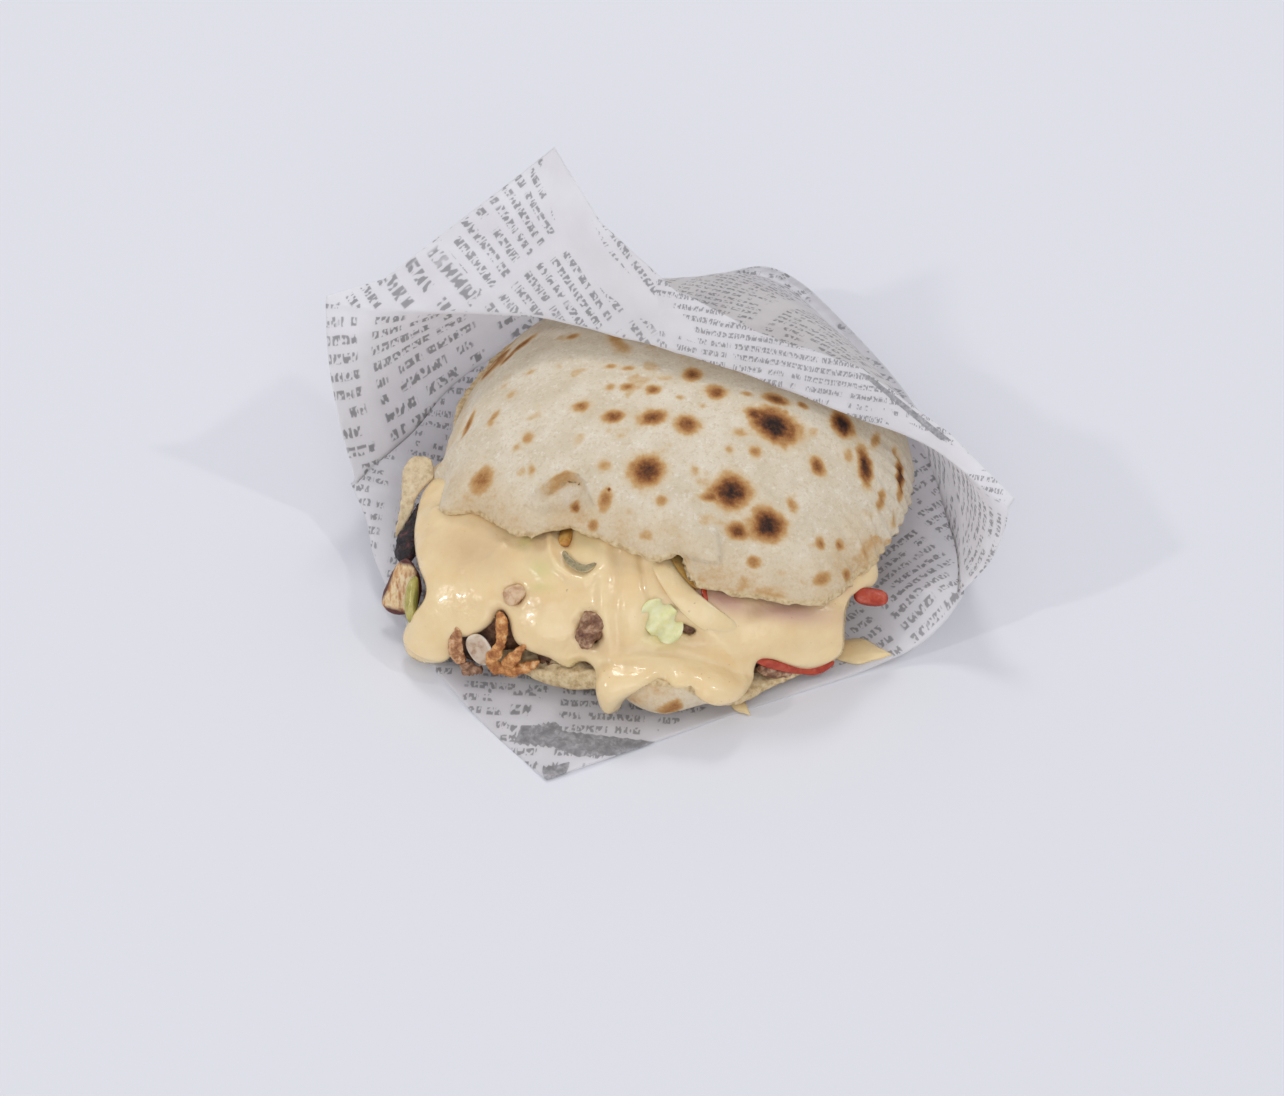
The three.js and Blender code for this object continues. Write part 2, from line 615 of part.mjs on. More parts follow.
function upperSheetSolid() {
  const flapRows = 3;
  const backRows = 6;
  const grid = [];
  for (let i = 0; i < flapRows; i += 1) {
    const share = i / flapRows;
    grid.push(across.map((at) => {
      const [edge, fold] = [cutEdgeAt(at), foldAt(at)];
      return [0, 1, 2].map((axis) => mix(edge[axis], fold[axis], share));
    }));
  }
  for (let i = 0; i < backRows; i += 1) {
    const s = i / backRows;
    grid.push(across.map((at) => {
      const [fold, bulge] = [foldAt(at), bulgeAt(at)];
      const seam = inwards(seamAt(at), seamWidthAt(at) + paper.overlap);
      const [a, b, c] = [(1 - s) ** 2, 2 * s * (1 - s), s * s];
      return [0, 1, 2].map((axis) => a * fold[axis] + b * bulge[axis] + c * seam[axis]);
    }));
  }
  const raised = ([x, y, z]) => [x, y, z + paper.thickness];
  const seamInner = across.map((at) => raised(inwards(seamAt(at), seamWidthAt(at) + paper.overlap)));
  const seamOuter = across.map((at) => raised(inwards(seamAt(at), paper.overlap)));
  grid.push(seamInner, seamOuter);
  const normalAt = (i, j) => {
    const pick = (a, b) => new THREE.Vector3(...grid[clamp(a, 0, grid.length - 1)][clamp(b, 0, acrossSteps)]);
    const down = pick(i + 1, j).sub(pick(i - 1, j));
    const side = pick(i, j + 1).sub(pick(i, j - 1));
    return side.cross(down).normalize();
  };
  const offset = (away) => grid.map((row, i) => row.map((point, j) => {
    const normal = i >= grid.length - 2 ? new THREE.Vector3(0, 0, 1) : normalAt(i, j);
    return point.map((value, axis) => value + away * normal.getComponent(axis));
  }));
  return plate(offset(paper.thickness / 2), offset(-paper.thickness / 2));
}

function paperBag() {
  return geometryOf(solidOf(lowerSheet()).add(solidOf(upperSheetSolid())));
}

// ---------------------------------------------------------------- assembly
const group = new THREE.Group();

function addPiece(name, geometry, look) {
  const flat = geometry.index ? geometry : geometry.clone();
  flat.computeVertexNormals();
  const mesh = new THREE.Mesh(flat, new THREE.MeshStandardMaterial({ metalness: 0, ...look }));
  mesh.name = name;
  group.add(mesh);
}

function cheeseSauce() {
  let solid = solidOf(sauceBlanket());
  for (const spec of Object.values(pieces)) {
    solid = solid.subtract(solidOf(heapPiece({ ...spec, grow: gap })));
  }
  // crumbs that the cuts leave at the hem are dropped
  const bodies = solid.decompose();
  return geometryOf(bodies.reduce((a, b) => (b.volume() > a.volume() ? b : a)));
}

addPiece("paper_bag", paperBag(), looks.paper_bag);
addPiece("flatbread", flatbread(), looks.flatbread);
addPiece("filling_core", fillingCore(), looks.filling_core);
addPiece("cheese_sauce", cheeseSauce(), looks.cheese_sauce);
for (const [name, spec] of Object.entries(puddles)) {
  addPiece(name, puddle(spec), looks.cheese_sauce);
}
for (const [name, spec] of Object.entries(pieces)) {
  addPiece(name, heapPiece(spec), { color: spec.colour, roughness: 0.6 });
}

export default group;
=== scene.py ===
import math

import bpy
import numpy as np
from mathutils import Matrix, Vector


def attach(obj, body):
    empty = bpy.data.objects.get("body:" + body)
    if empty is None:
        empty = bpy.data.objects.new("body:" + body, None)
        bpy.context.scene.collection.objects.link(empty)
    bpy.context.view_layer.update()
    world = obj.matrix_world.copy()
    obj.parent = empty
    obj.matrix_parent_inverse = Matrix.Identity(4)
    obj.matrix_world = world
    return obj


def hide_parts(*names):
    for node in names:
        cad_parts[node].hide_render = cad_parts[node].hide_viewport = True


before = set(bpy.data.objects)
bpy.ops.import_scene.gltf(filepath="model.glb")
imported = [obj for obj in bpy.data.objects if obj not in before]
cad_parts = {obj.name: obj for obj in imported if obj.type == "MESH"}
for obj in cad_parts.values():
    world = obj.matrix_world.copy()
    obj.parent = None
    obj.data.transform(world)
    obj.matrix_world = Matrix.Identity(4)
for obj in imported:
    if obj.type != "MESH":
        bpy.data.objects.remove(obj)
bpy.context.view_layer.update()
print("frame loaded")

# All shapes are worked out in millimetres and become metres when a mesh is made.
# Round parts use an angle in degrees, counted from +X about the middle of the bread, and a radius.
mm = 0.001

# the photograph's view: pixels of the whole picture, lens and sensor in mm, what its middle looks at in mm
photo = dict(width=1284, height=1096, lens=70, sensor=36, elevation=43, lookAt=(-8, 8, 0), pixelsPerMm=2.88)


# ---- numbers and curves

def smooth(x):  # 3x^2 - 2x^3 between 0 and 1
    s = np.clip(x, 0, 1)
    return s * s * (3 - 2 * s)


def mix(a, b, share):
    return a + (b - a) * share


def bumpAt(x, middle, width):  # bell curve, 1 at the middle
    return np.exp(-((x - middle) / width) ** 2)


# smooth curve through knots [position, value, ...]: a cubic between two knots,
# whose slope at a knot is that of the line between the knots beside it
def through(knots, at, column=1, period=None):
    table = np.array(knots, float)
    x, y = table[:, 0], table[:, column]
    at = np.asarray(at, float)
    if period:
        at = x[0] + np.mod(at - x[0], period)
        x = np.concatenate([x[-2:] - period, x, x[:3] + period])
        y = np.concatenate([y[-2:], y, y[:3]])
    else:
        at = np.clip(at, x[0], x[-1])
        x = np.concatenate([x[:1], x, x[-1:]])
        y = np.concatenate([y[:1], y, y[-1:]])
    slopes = np.zeros(len(x))
    slopes[1:-1] = (y[2:] - y[:-2]) / np.maximum(x[2:] - x[:-2], 1e-9)
    i = np.clip(np.searchsorted(x, at, side="right") - 1, 1, len(x) - 3)
    width = x[i + 1] - x[i]
    s = (at - x[i]) / width
    rise = (3 - 2 * s) * s * s
    return (y[i] * (1 - rise) + y[i + 1] * rise
            + width * (slopes[i] * s * (1 - s) ** 2 - slopes[i + 1] * s * s * (1 - s)))


# a value between 0 and 1 for each whole-number cell, from a hash of its coordinates
def cellValue(cell, seed):
    h = (cell[..., 0] * 73856093) ^ (cell[..., 1] * 19349663) ^ (cell[..., 2] * 83492791) ^ (seed * 40503)
    h = ((h ^ (h >> 13)) * 1274126177) & 0xFFFFFFFF
    h = ((h ^ (h >> 15)) * 668265263) & 0xFFFFFFFF
    return ((h ^ (h >> 16)) & 0xFFFF) / 65535.0


# smooth noise between -1 and 1: cell values eased from corner to corner, halved in size for each octave
def noise(points, size, seed=1, octaves=3):
    total = np.zeros(points.shape[:-1])
    weight = 1.0
    for octave in range(octaves):
        place = points * (2 ** octave / size) + 7.31 * octave
        low = np.floor(place).astype(np.int64)
        part = smooth(place - low)
        value = np.zeros(points.shape[:-1])
        for corner in range(8):
            step = np.array([corner & 1, (corner >> 1) & 1, corner >> 2])
            share = np.prod(np.where(step == 1, part, 1 - part), axis=-1)
            value += share * cellValue(low + step, seed + 17 * octave)
        total += weight * (2 * value - 1)
        weight *= 0.5
    return total / (2 - 2 * weight)


def polar(radius, angle, height):
    turn = np.radians(angle)
    x = breadShape["centre"][0] + radius * np.cos(turn)
    y = breadShape["centre"][1] + radius * np.sin(turn)
    return np.stack(np.broadcast_arrays(x, y, height), axis=-1)


def unit(vectors):
    return vectors / np.maximum(np.linalg.norm(vectors, axis=-1, keepdims=True), 1e-9)


# ---- the photograph's view

tilt = math.radians(photo["elevation"])
viewAxis = np.array([0, math.cos(tilt), -math.sin(tilt)])
viewRight = np.array([1.0, 0, 0])
viewUp = np.array([0, math.sin(tilt), math.cos(tilt)])
focalPixels = photo["lens"] / photo["sensor"] * photo["width"]
eye = np.array(photo["lookAt"], float) - viewAxis * focalPixels / photo["pixelsPerMm"]


def toPhoto(points):  # where points in mm fall in the photograph, in pixels
    ray = np.asarray(points, float) - eye
    depth = ray @ viewAxis
    across = photo["width"] / 2 + focalPixels * (ray @ viewRight) / depth
    down = photo["height"] / 2 - focalPixels * (ray @ viewUp) / depth
    return np.stack([across, down], axis=-1)


def fromPhoto(pixels, height):  # the point in mm at that height which a pixel shows
    pixels = np.asarray(pixels, float)
    ray = (viewAxis + viewRight * ((pixels[..., :1] - photo["width"] / 2) / focalPixels)
           + viewUp * ((photo["height"] / 2 - pixels[..., 1:2]) / focalPixels))
    return eye + ray * ((np.asarray(height)[..., None] - eye[2]) / ray[..., 2:])


# ---- meshes

def makePiece(name, points, faces, material, replaced=(), attributes=None, faceUvs=None):
    mesh = bpy.data.meshes.new(name)
    mesh.from_pydata((np.asarray(points).reshape(-1, 3) * mm).tolist(), [], faces)
    mesh.polygons.foreach_set("use_smooth", np.ones(len(mesh.polygons), bool))
    for key, values in (attributes or {}).items():
        layer = mesh.attributes.new(key, "FLOAT", "POINT")
        layer.data.foreach_set("value", np.asarray(values, np.float32).ravel())
    if faceUvs is not None:
        layer = mesh.uv_layers.new(name="flatPaper")
        layer.data.foreach_set("uv", np.asarray(faceUvs, np.float32).ravel())
    mesh.materials.append(material)
    mesh.update()
    piece = bpy.data.objects.new(name, mesh)
    bpy.context.scene.collection.objects.link(piece)
    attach(piece, "root")
    if replaced:
        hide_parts(*replaced)
    return piece


# four-sided faces of a grid of points, row after row; the last column can join the first
def gridQuads(rows, columns, joined=False):
    i = np.arange(rows - 1)[:, None]
    j = np.arange(columns if joined else columns - 1)[None, :]
    k = (j + 1) % columns
    return np.stack(np.broadcast_arrays(i * columns + j, (i + 1) * columns + j,
                                        (i + 1) * columns + k, i * columns + k), axis=-1).reshape(-1, 4)


# faces of a closed skin: rings of points, with one more point before the first ring and one after the last
def closedFaces(rings, sides):
    j = np.arange(sides)
    k = (j + 1) % sides
    first, last = rings * sides, rings * sides + 1
    quads = gridQuads(rings, sides, joined=True).tolist()
    firstFan = np.stack([np.full(sides, first), j, k], axis=-1).tolist()
    edge = (rings - 1) * sides
    lastFan = np.stack([np.full(sides, last), edge + k, edge + j], axis=-1).tolist()
    return quads + firstFan + lastFan


# square to a grid of points, from the steps to its neighbours
def gridNormals(points, joined=False):
    if joined:
        across = np.roll(points, -1, axis=1) - np.roll(points, 1, axis=1)
    else:
        across = np.gradient(points, axis=1)
    down = np.gradient(points, axis=0)
    return unit(np.cross(down, across))


# ---- material nodes

def newMaterial(name, **values):
    material = bpy.data.materials.new(name)
    material.use_nodes = True
    shader = material.node_tree.nodes["Principled BSDF"]
    for key, value in values.items():
        shader.inputs[key].default_value = value
    return material, material.node_tree, shader


def addNode(tree, kind, inputs=None, **settings):
    node = tree.nodes.new(kind)
    for key, value in settings.items():
        setattr(node, key, value)
    for key, value in (inputs or {}).items():
        if isinstance(value, bpy.types.NodeSocket):
            tree.links.new(value, node.inputs[key])
        else:
            node.inputs[key].default_value = value
    return node


def objectMm(tree, stretch=(1, 1, 1)):  # Object coordinates in millimetres
    place = addNode(tree, "ShaderNodeTexCoord").outputs["Object"]
    scale = tuple(1000 * s for s in stretch)
    return addNode(tree, "ShaderNodeMapping", {"Vector": place, "Scale": scale}).outputs["Vector"]


def noiseOut(tree, vector, size, detail=4.0, roughness=0.55, distortion=0.0):
    inputs = {"Vector": vector, "Scale": 1 / size, "Detail": detail, "Roughness": roughness,
              "Distortion": distortion}
    return addNode(tree, "ShaderNodeTexNoise", inputs).outputs["Fac"]


def cellsOut(tree, vector, size, feature="F1"):
    inputs = {"Vector": vector, "Scale": 1 / size}
    return addNode(tree, "ShaderNodeTexVoronoi", inputs, feature=feature).outputs["Distance"]


def calc(tree, operation, a, b=0.0, c=0.0, clamp=False):
    return addNode(tree, "ShaderNodeMath", {0: a, 1: b, 2: c}, operation=operation, use_clamp=clamp).outputs[0]


def linear(colour):  # sRGB 0..255 to linear, with alpha
    c = np.array(colour, float) / 255
    c = np.where(c <= 0.04045, c / 12.92, ((c + 0.055) / 1.055) ** 2.4)
    return (*c.tolist(), 1.0)


def ramp(tree, factor, stops, interpolation="LINEAR"):  # stops: position, sRGB colour
    node = addNode(tree, "ShaderNodeValToRGB", {"Fac": factor})
    node.color_ramp.interpolation = interpolation
    elements = node.color_ramp.elements
    while len(elements) < len(stops):
        elements.new(1.0)
    for element, (position, colour) in zip(elements, stops):
        element.position = position
        element.color = linear(colour)
    return node.outputs["Color"]


def greyRamp(tree, factor, low, high):  # 0 below low, 1 above high
    return addNode(tree, "ShaderNodeMapRange", {"Value": factor, "From Min": low, "From Max": high}).outputs[0]


def mixValue(tree, share, a, b):
    return addNode(tree, "ShaderNodeMapRange", {"Value": share, "To Min": a, "To Max": b}).outputs[0]


def blendColours(tree, share, a, b, kind="MIX"):
    node = addNode(tree, "ShaderNodeMix", data_type="RGBA", blend_type=kind)
    for index, value in ((0, share), (6, a), (7, b)):
        if isinstance(value, bpy.types.NodeSocket):
            tree.links.new(value, node.inputs[index])
        else:
            node.inputs[index].default_value = value
    return node.outputs[2]


def addBump(tree, shader, height, strength, distance):
    node = addNode(tree, "ShaderNodeBump", {"Height": height, "Strength": strength, "Distance": distance * mm})
    tree.links.new(node.outputs["Normal"], shader.inputs["Normal"])


def attribute(tree, name):
    return addNode(tree, "ShaderNodeAttribute", attribute_name=name).outputs["Fac"]


# ---- shared shape of the bread

breadShape = dict(
    centre=(2, 16),
    crownHeight=68, seamHeight=28,
    thickness=4.5, edgeThickness=3.2,
    underside=1.1, liftStart=0.6,
    rimRadius=[[0, 83], [30, 84], [60, 86], [90, 88], [120, 88], [150, 80], [178, 79], [189, 87], [205, 86],
               [240, 87], [270, 88], [300, 91], [312, 84], [322, 78], [335, 80]],
    rimLift=[[0, 25], [45, 26], [90, 27], [135, 28], [175, 28], [186, 31], [192, 24], [199, 11], [210, 7],
             [235, 5], [255, 3], [270, 2], [300, 2], [316, 6], [330, 17], [344, 24]],
    mouthEdge=[[184, 82, 28], [189, 81, 29], [196, 79.5, 32], [204, 77, 36.5], [212, 74, 39.5], [222, 69, 42],
               [231, 63, 44], [240, 58.5, 45.5], [250, 59, 46], [260, 62, 46], [270, 61.5, 46], [274, 64, 44],
               [279, 70, 40], [289, 75, 36], [297, 80, 34], [305, 83, 32], [315, 83, 30], [325, 81, 29],
               [335, 80, 28]],
    fillingFoot=[[186, 75], [192, 78], [198, 91], [206, 101], [216, 103], [226, 99], [236, 90], [246, 83],
                 [258, 82], [270, 79], [280, 79], [292, 80], [302, 81], [312, 84], [323, 85], [331, 78], [336, 74]],
    underBreadClosed=7.5, underBreadMouth=12.8,
    heapBulge=1.15,
)


def rimAt(angle):
    return through(breadShape["rimRadius"], angle, 1, 360)


def openness(angle):
    return smooth((angle - 184) / 12) * smooth((338 - angle) / 16)


def domeOpenness(angle):
    return smooth((angle - 162) / 60) * smooth((360 - angle) / 60)


def upperEdge(angle):
    angle = np.asarray(angle, float)
    knots = breadShape["mouthEdge"]
    inMouth = (angle > knots[0][0]) & (angle < knots[-1][0])
    radius = np.where(inMouth, through(knots, angle, 1), rimAt(angle))
    height = np.where(inMouth, through(knots, angle, 2), breadShape["seamHeight"])
    return radius, height


# height of the dome: a rounded fall from the crown to the edge, steeper by the closed seam
def domeHeight(share, angle):
    edgeHeight = upperEdge(angle)[1]
    wide = domeOpenness(angle)
    fall = np.maximum(1 - share ** mix(2.6, 2, wide), 0) ** mix(0.62, 0.85, wide)
    return edgeHeight + (breadShape["crownHeight"] - edgeHeight) * fall


def lowerSkin(radius, angle):
    curl = smooth((radius / rimAt(angle) - breadShape["liftStart"]) / (1 - breadShape["liftStart"])) ** 1.2
    return breadShape["underside"] + through(breadShape["rimLift"], angle, 1, 360) * curl


def lowerTop(radius, angle):
    thick = mix(breadShape["thickness"], breadShape["edgeThickness"], smooth((radius / rimAt(angle) - 0.8) / 0.2))
    return lowerSkin(radius, angle) + thick


# ---- shared shape of the paper

paperShape = dict(
    centre=(0, 15),
    thickness=0.28,
    solidThickness=0.7,  # what the solids keep free for it
    seamWidth=5, cornerSeam=1.2, overlap=0.9, liftStart=0.6,
    frontLeft=[[-109, 23, 16], [-103, 9, 12], [-99, -7, 8], [-89, -29, 4], [-77, -51, 1], [-58, -77, 0],
               [-38, -100, 0]],
    frontRight=[[-38, -100, 0], [-4, -84, 0], [20, -72, 0], [57, -56, 0.5], [80, -46, 3], [91, -40, 9],
                [98, -35, 18]],
    # share across the upper sheet; its cut edge, fold, bulge and seam there
    upperRows=[
        [0, [-116, 57, 72], [-116, 56, 70], [-118, 42, 40], [-109, 23, 16]],
        [0.1, [-96, 60, 77], [-98, 52, 70], [-110, 58, 44], [-96, 60, 9]],
        [0.19, [-76, 71, 88], [-78, 51, 70], [-93, 78, 46], [-78, 90, 12]],
        [0.31, [-50, 87, 101], [-55, 47, 71], [-62, 102, 58], [-40, 120, 16]],
        [0.36, [-38, 95, 107], [-40, 43, 72], [-40, 112, 66], [-20, 130, 17]],
        [0.44, [-22, 68, 95], [-20, 34, 73], [-12, 94, 66], [10, 136, 18]],
        [0.525, [3, 44, 84], [4, 23, 74], [14, 92, 62], [42, 139, 22]],
        [0.65, [31, 28, 78], [30, 12, 72], [52, 78, 63], [74, 98, 18]],
        [0.79, [65, 22, 68], [60, 6, 62], [88, 44, 50], [96, 50, 14]],
        [0.91, [94, 6, 54], [88, 2, 51], [108, 14, 42], [103, 0, 13]],
        [1, [114, -18, 46], [112, -20, 44], [110, -32, 31], [98, -35, 18]],
    ],
)


def sheetCurve(column, at):  # cut edge 1, fold 2, bulge 3 or seam 4 of the upper sheet
    rows = paperShape["upperRows"]
    knots = [[row[0], *row[column]] for row in rows]
    if column == 1:  # the cut edge runs straight between its corners
        table = np.array(knots, float)
        return np.stack([np.interp(at, table[:, 0], table[:, k]) for k in (1, 2, 3)], axis=-1)
    return np.stack([through(knots, at, k) for k in (1, 2, 3)], axis=-1)


def seamWidthAt(at):
    return mix(paperShape["cornerSeam"], paperShape["seamWidth"], smooth(np.minimum(at, 1 - at) / 0.12))


def inwards(points, distance):  # points moved level towards the middle of the lower sheet
    middle = np.array(paperShape["centre"], float)
    away = points[..., :2] - middle
    reach = np.linalg.norm(away, axis=-1, keepdims=True)
    flat = middle + away * (1 - np.asarray(distance)[..., None] / reach)
    return np.concatenate([flat, points[..., 2:]], axis=-1)


def frontEdge(points, at):
    knots = [[i / (len(points) - 1), *point] for i, point in enumerate(points)]
    return np.stack([through(knots, at, k) for k in (1, 2, 3)], axis=-1)


# the lower sheet's outline, once round: two cut edges, then the seam
def sheetOutline(edgeSteps, seamSteps):
    edge = np.arange(edgeSteps) / edgeSteps
    at = np.linspace(1, 0, seamSteps + 1)[:-1]
    points = np.concatenate([frontEdge(paperShape["frontLeft"], edge), frontEdge(paperShape["frontRight"], edge),
                             sheetCurve(4, at)])
    widths = np.concatenate([np.full(2 * edgeSteps, paperShape["cornerSeam"]), seamWidthAt(at)])
    return points, inwards(points, widths)


outlineInner = sheetOutline(24, 60)[1]
outlineAway = outlineInner[:, :2] - np.array(paperShape["centre"])
outlineAngles = np.degrees(np.arctan2(outlineAway[:, 1], outlineAway[:, 0]))
outlineOrder = np.argsort(outlineAngles)
outlineKnots = np.stack([outlineAngles, np.linalg.norm(outlineAway, axis=1), outlineInner[:, 2]], axis=1)[outlineOrder]


def paperHeight(x, y):  # top of the lower sheet
    dx, dy = x - paperShape["centre"][0], y - paperShape["centre"][1]
    angle = np.degrees(np.arctan2(dy, dx))
    share = np.hypot(dx, dy) / through(outlineKnots, angle, 1, 360)
    lift = smooth((share - paperShape["liftStart"]) / (1 - paperShape["liftStart"]))
    return paperShape["solidThickness"] + through(outlineKnots, angle, 2, 360) * lift


# ---- shared shape of the spilled filling

# top and foot of the heap at each angle: radius and height
def heapEnds(angle):
    wide = openness(angle)
    rim = rimAt(angle)
    edgeRadius = upperEdge(angle)[0]
    topRadius = mix(0.8 * rim, edgeRadius - 6, wide)
    topHeight = (domeHeight(topRadius / edgeRadius, angle)
                 - mix(breadShape["underBreadClosed"], breadShape["underBreadMouth"], wide))
    foot = through(breadShape["fillingFoot"], np.clip(angle, 186, 336), 1)
    footRadius = mix(0.87 * rim, foot, wide)
    outside = smooth((foot - rim - 1) / 3)
    footPoint = polar(foot, angle, 0)
    footHeight = mix(lowerTop(np.minimum(foot, rim), angle) + 1.4,
                     paperHeight(footPoint[..., 0], footPoint[..., 1]) + 2, outside)
    return topRadius, topHeight, footRadius, mix(32, footHeight, wide)


# the heap's surface: a quarter of a rounded arch from its top, share 0, to its foot, share 1, and flatter beyond
def heapPoint(share, angle):
    topRadius, topHeight, footRadius, footHeight = heapEnds(angle)
    turn = np.pi / 2 * np.clip(share, 0, 1)
    beyond = np.maximum(share - 1, 0)
    radius = mix(topRadius, footRadius, np.sin(turn) ** breadShape["heapBulge"]) + beyond * 26
    radius = radius + np.minimum(share, 0) * 30
    height = mix(footHeight, topHeight, np.cos(turn))
    rim = rimAt(angle)
    place = polar(radius, angle, 0)
    overRim = lowerTop(np.minimum(radius, rim), angle) + 1.7 + 2.8 * smooth((share - 0.9) / 0.12)
    onPaper = paperHeight(place[..., 0], place[..., 1]) + 0.4
    floor = mix(overRim, onPaper, smooth((radius - rim - 0.5) / 3))
    return polar(radius, angle, np.maximum(height - beyond * 30, floor))


def heapNormal(share, angle):
    here = heapPoint(share, angle)
    along = heapPoint(share, angle + 1) - here
    down = heapPoint(share + 0.03, angle) - here
    return unit(np.cross(down, along))


print("shapes ready")


# ---- bread, upper layer

upperBread = dict(
    outerRows=150, rimRows=7, innerRows=34, sides=400,
    thickness=3.4,
    # torn front edge, where the photograph shows it, in pixels from left to right
    tornEdge=[(441, 489), (437.5, 503), (436, 511), (446, 513.5), (462, 513), (473, 512), (479, 513), (487, 518), (496, 523),
              (506, 529), (517, 532), (533, 536), (542, 533), (554, 529.5), (567, 526.5), (579, 529.5), (596, 536),
              (619, 545), (639, 554), (647, 557), (661, 557), (675, 553),
              (681, 560), (684, 568), (688, 574), (697, 581), (709, 587), (727, 594), (745, 595), (763, 599),
              (781, 602), (799, 604), (816, 603), (832, 598), (845, 591), (852, 583), (858, 575)],
    # the tear where the left part laps over the tongue, in pixels from its left end
    tear=[(676, 554), (690, 557), (705, 561), (718, 563), (721, 552), (717, 537), (716, 522)],
    tearStep=1.5, tearReach=16,
    # pinched hollow near the front edge: its upper brim and the rest of its rim in pixels, depth and crest in mm
    dent=dict(brim=[(527, 500), (537, 493), (548, 486), (558, 478.5), (567, 474.5), (576, 475.5), (584, 482), (588, 492)],
              rest=[(596, 512), (584, 528), (552, 530), (520, 518)], depth=5.8, drop=1.6, fade=13.0, crest=1.3),
    swell=1.0, swellSize=34, ripple=0.24, rippleSize=9,
)

# toasted spots: pixel, length and width in mm, turn in degrees, how dark from 0 to 1
toastSpots = [
    (775, 427, 16, 12, -25, 1.0), (756, 415, 7, 5, -30, 0.7), (843, 425, 8, 10, 15, 0.98), (865, 465, 6, 14, 10, 0.85),
    (900, 478, 4, 13, -18, 0.85), (730, 491, 13, 11, 0, 0.92), (712, 497, 8, 4, 10, 0.55), (768, 524, 11, 12, 20, 0.95),
    (736, 531, 8, 6, -20, 0.68), (648, 470, 12, 12, 0, 0.78), (482, 480, 11, 8.5, 40, 0.5), (653, 418, 9, 7, 5, 0.64),
    (688, 423, 9, 7.5, -20, 0.62), (614, 417, 8.5, 6, 8, 0.6), (581, 406, 7, 5, 10, 0.5), (692, 375, 6.5, 7.5, 0, 0.62),
    (716, 392, 7.5, 7, -35, 0.64), (776, 399, 9, 5, -15, 0.7), (802, 405, 4.5, 3, -20, 0.5), (653, 390, 6, 5.5, 0, 0.5),
    (628, 387, 6, 4.5, 0, 0.46), (610, 387, 4, 4, 0, 0.34), (611, 366, 5, 3.4, 0, 0.34), (628, 368, 5, 3.2, 0, 0.36),
    (817, 466, 5, 7, 20, 0.62), (755, 452, 5, 5, 0, 0.42), (740, 432, 6, 4.5, 0, 0.3), (605, 500, 5, 9, -15, 0.46),
    (609, 489, 1.4, 1.4, 0, 0.9), (576, 508, 3.6, 4.6, 0, 0.62), (592, 526, 4.5, 5, 0, 0.44), (661, 501, 5, 5.4, 0, 0.36),
    (645, 535, 6, 5.4, 0, 0.3), (754, 562, 5, 4.6, 0, 0.46), (821, 544, 4, 5.4, 15, 0.5), (839, 547, 3.4, 4.6, 20, 0.48),
    (793, 505, 4.4, 7, 20, 0.36), (822, 579, 8, 5.6, 25, 0.44), (846, 577, 5, 5.4, 20, 0.46), (881, 499, 4, 9, 0, 0.42),
    (468, 425, 3.6, 12, -25, 0.5), (493, 417, 4, 8, -30, 0.36), (511, 394, 4.5, 4.5, 0, 0.26), (528, 438, 5, 5, -25, 0.36),
    (516, 447, 4.4, 3.6, 0, 0.24), (531, 470, 3.4, 6, 0, 0.3), (604, 465, 5, 5, 0, 0.32), (620, 436, 4, 3, 0, 0.2),
    (572, 337, 6, 4, 10, 0.44), (530, 372, 5, 3.4, 15, 0.24), (680, 397, 4, 3, 0, 0.26), (730, 450, 4, 5, 0, 0.28),
    (812, 545, 3, 3, 0, 0.2), (748, 394, 5, 3, -10, 0.34), (849, 455, 5, 7, 0, 0.3), (695, 470, 4, 5, 0, 0.24),
    (876, 440, 4, 8, -25, 0.4), (893, 452, 3, 6, -15, 0.34), (629, 511, 3.6, 4, 0, 0.2), (893, 520, 4, 7, 0, 0.3),
    (785, 412, 4, 3, 0, 0.4), (702, 405, 3, 2.4, 0, 0.24), (522, 345, 13, 5, 30, 0.62), (508, 358, 9, 3.5, 40, 0.55),
]


def segmentDistance(pixels, line, closed=False):
    # distance of each pixel to a line of points, in pixels, from the nearest point of each stretch
    line = np.array(line, float)
    starts = line if closed else line[:-1]
    ends = np.roll(line, -1, axis=0) if closed else line[1:]
    best = np.full(pixels.shape[:-1], 1e9)
    for a, b in zip(starts, ends):
        step = b - a
        share = np.clip(((pixels - a) @ step) / max(step @ step, 1e-9), 0, 1)
        best = np.minimum(best, np.linalg.norm(pixels - a - share[..., None] * step, axis=-1))
    return best


def insideOutline(pixels, line):  # counts how often a level ray to the right crosses the outline
    line = np.array(line, float)
    crossings = np.zeros(pixels.shape[:-1], int)
    for a, b in zip(line, np.roll(line, -1, axis=0)):
        between = (a[1] > pixels[..., 1]) != (b[1] > pixels[..., 1])
        rise = b[1] - a[1] if b[1] != a[1] else 1e-9
        crossings += between & (pixels[..., 0] < a[0] + (pixels[..., 1] - a[1]) * (b[0] - a[0]) / rise)
    return crossings % 2 == 1


# radius of the torn edge at each angle: each pixel of the edge is brought to the edge's height
def tornRadius(angle):
    pixels = np.array(upperBread["tornEdge"], float)
    height = np.full(len(pixels), 42.0)
    for step in range(8):
        place = fromPhoto(pixels, height)
        away = place[:, :2] - np.array(breadShape["centre"])
        angles = np.mod(np.degrees(np.arctan2(away[:, 1], away[:, 0])), 360)
        height = upperEdge(angles)[1]
    radii = np.hypot(away[:, 0], away[:, 1])
    order = np.argsort(angles)
    fine = np.interp(angle, angles[order], radii[order])
    near = smooth((angle - angles.min() + 5) / 5) * smooth((angles.max() + 5 - angle) / 5)
    return mix(upperEdge(angle)[0], fine, near)


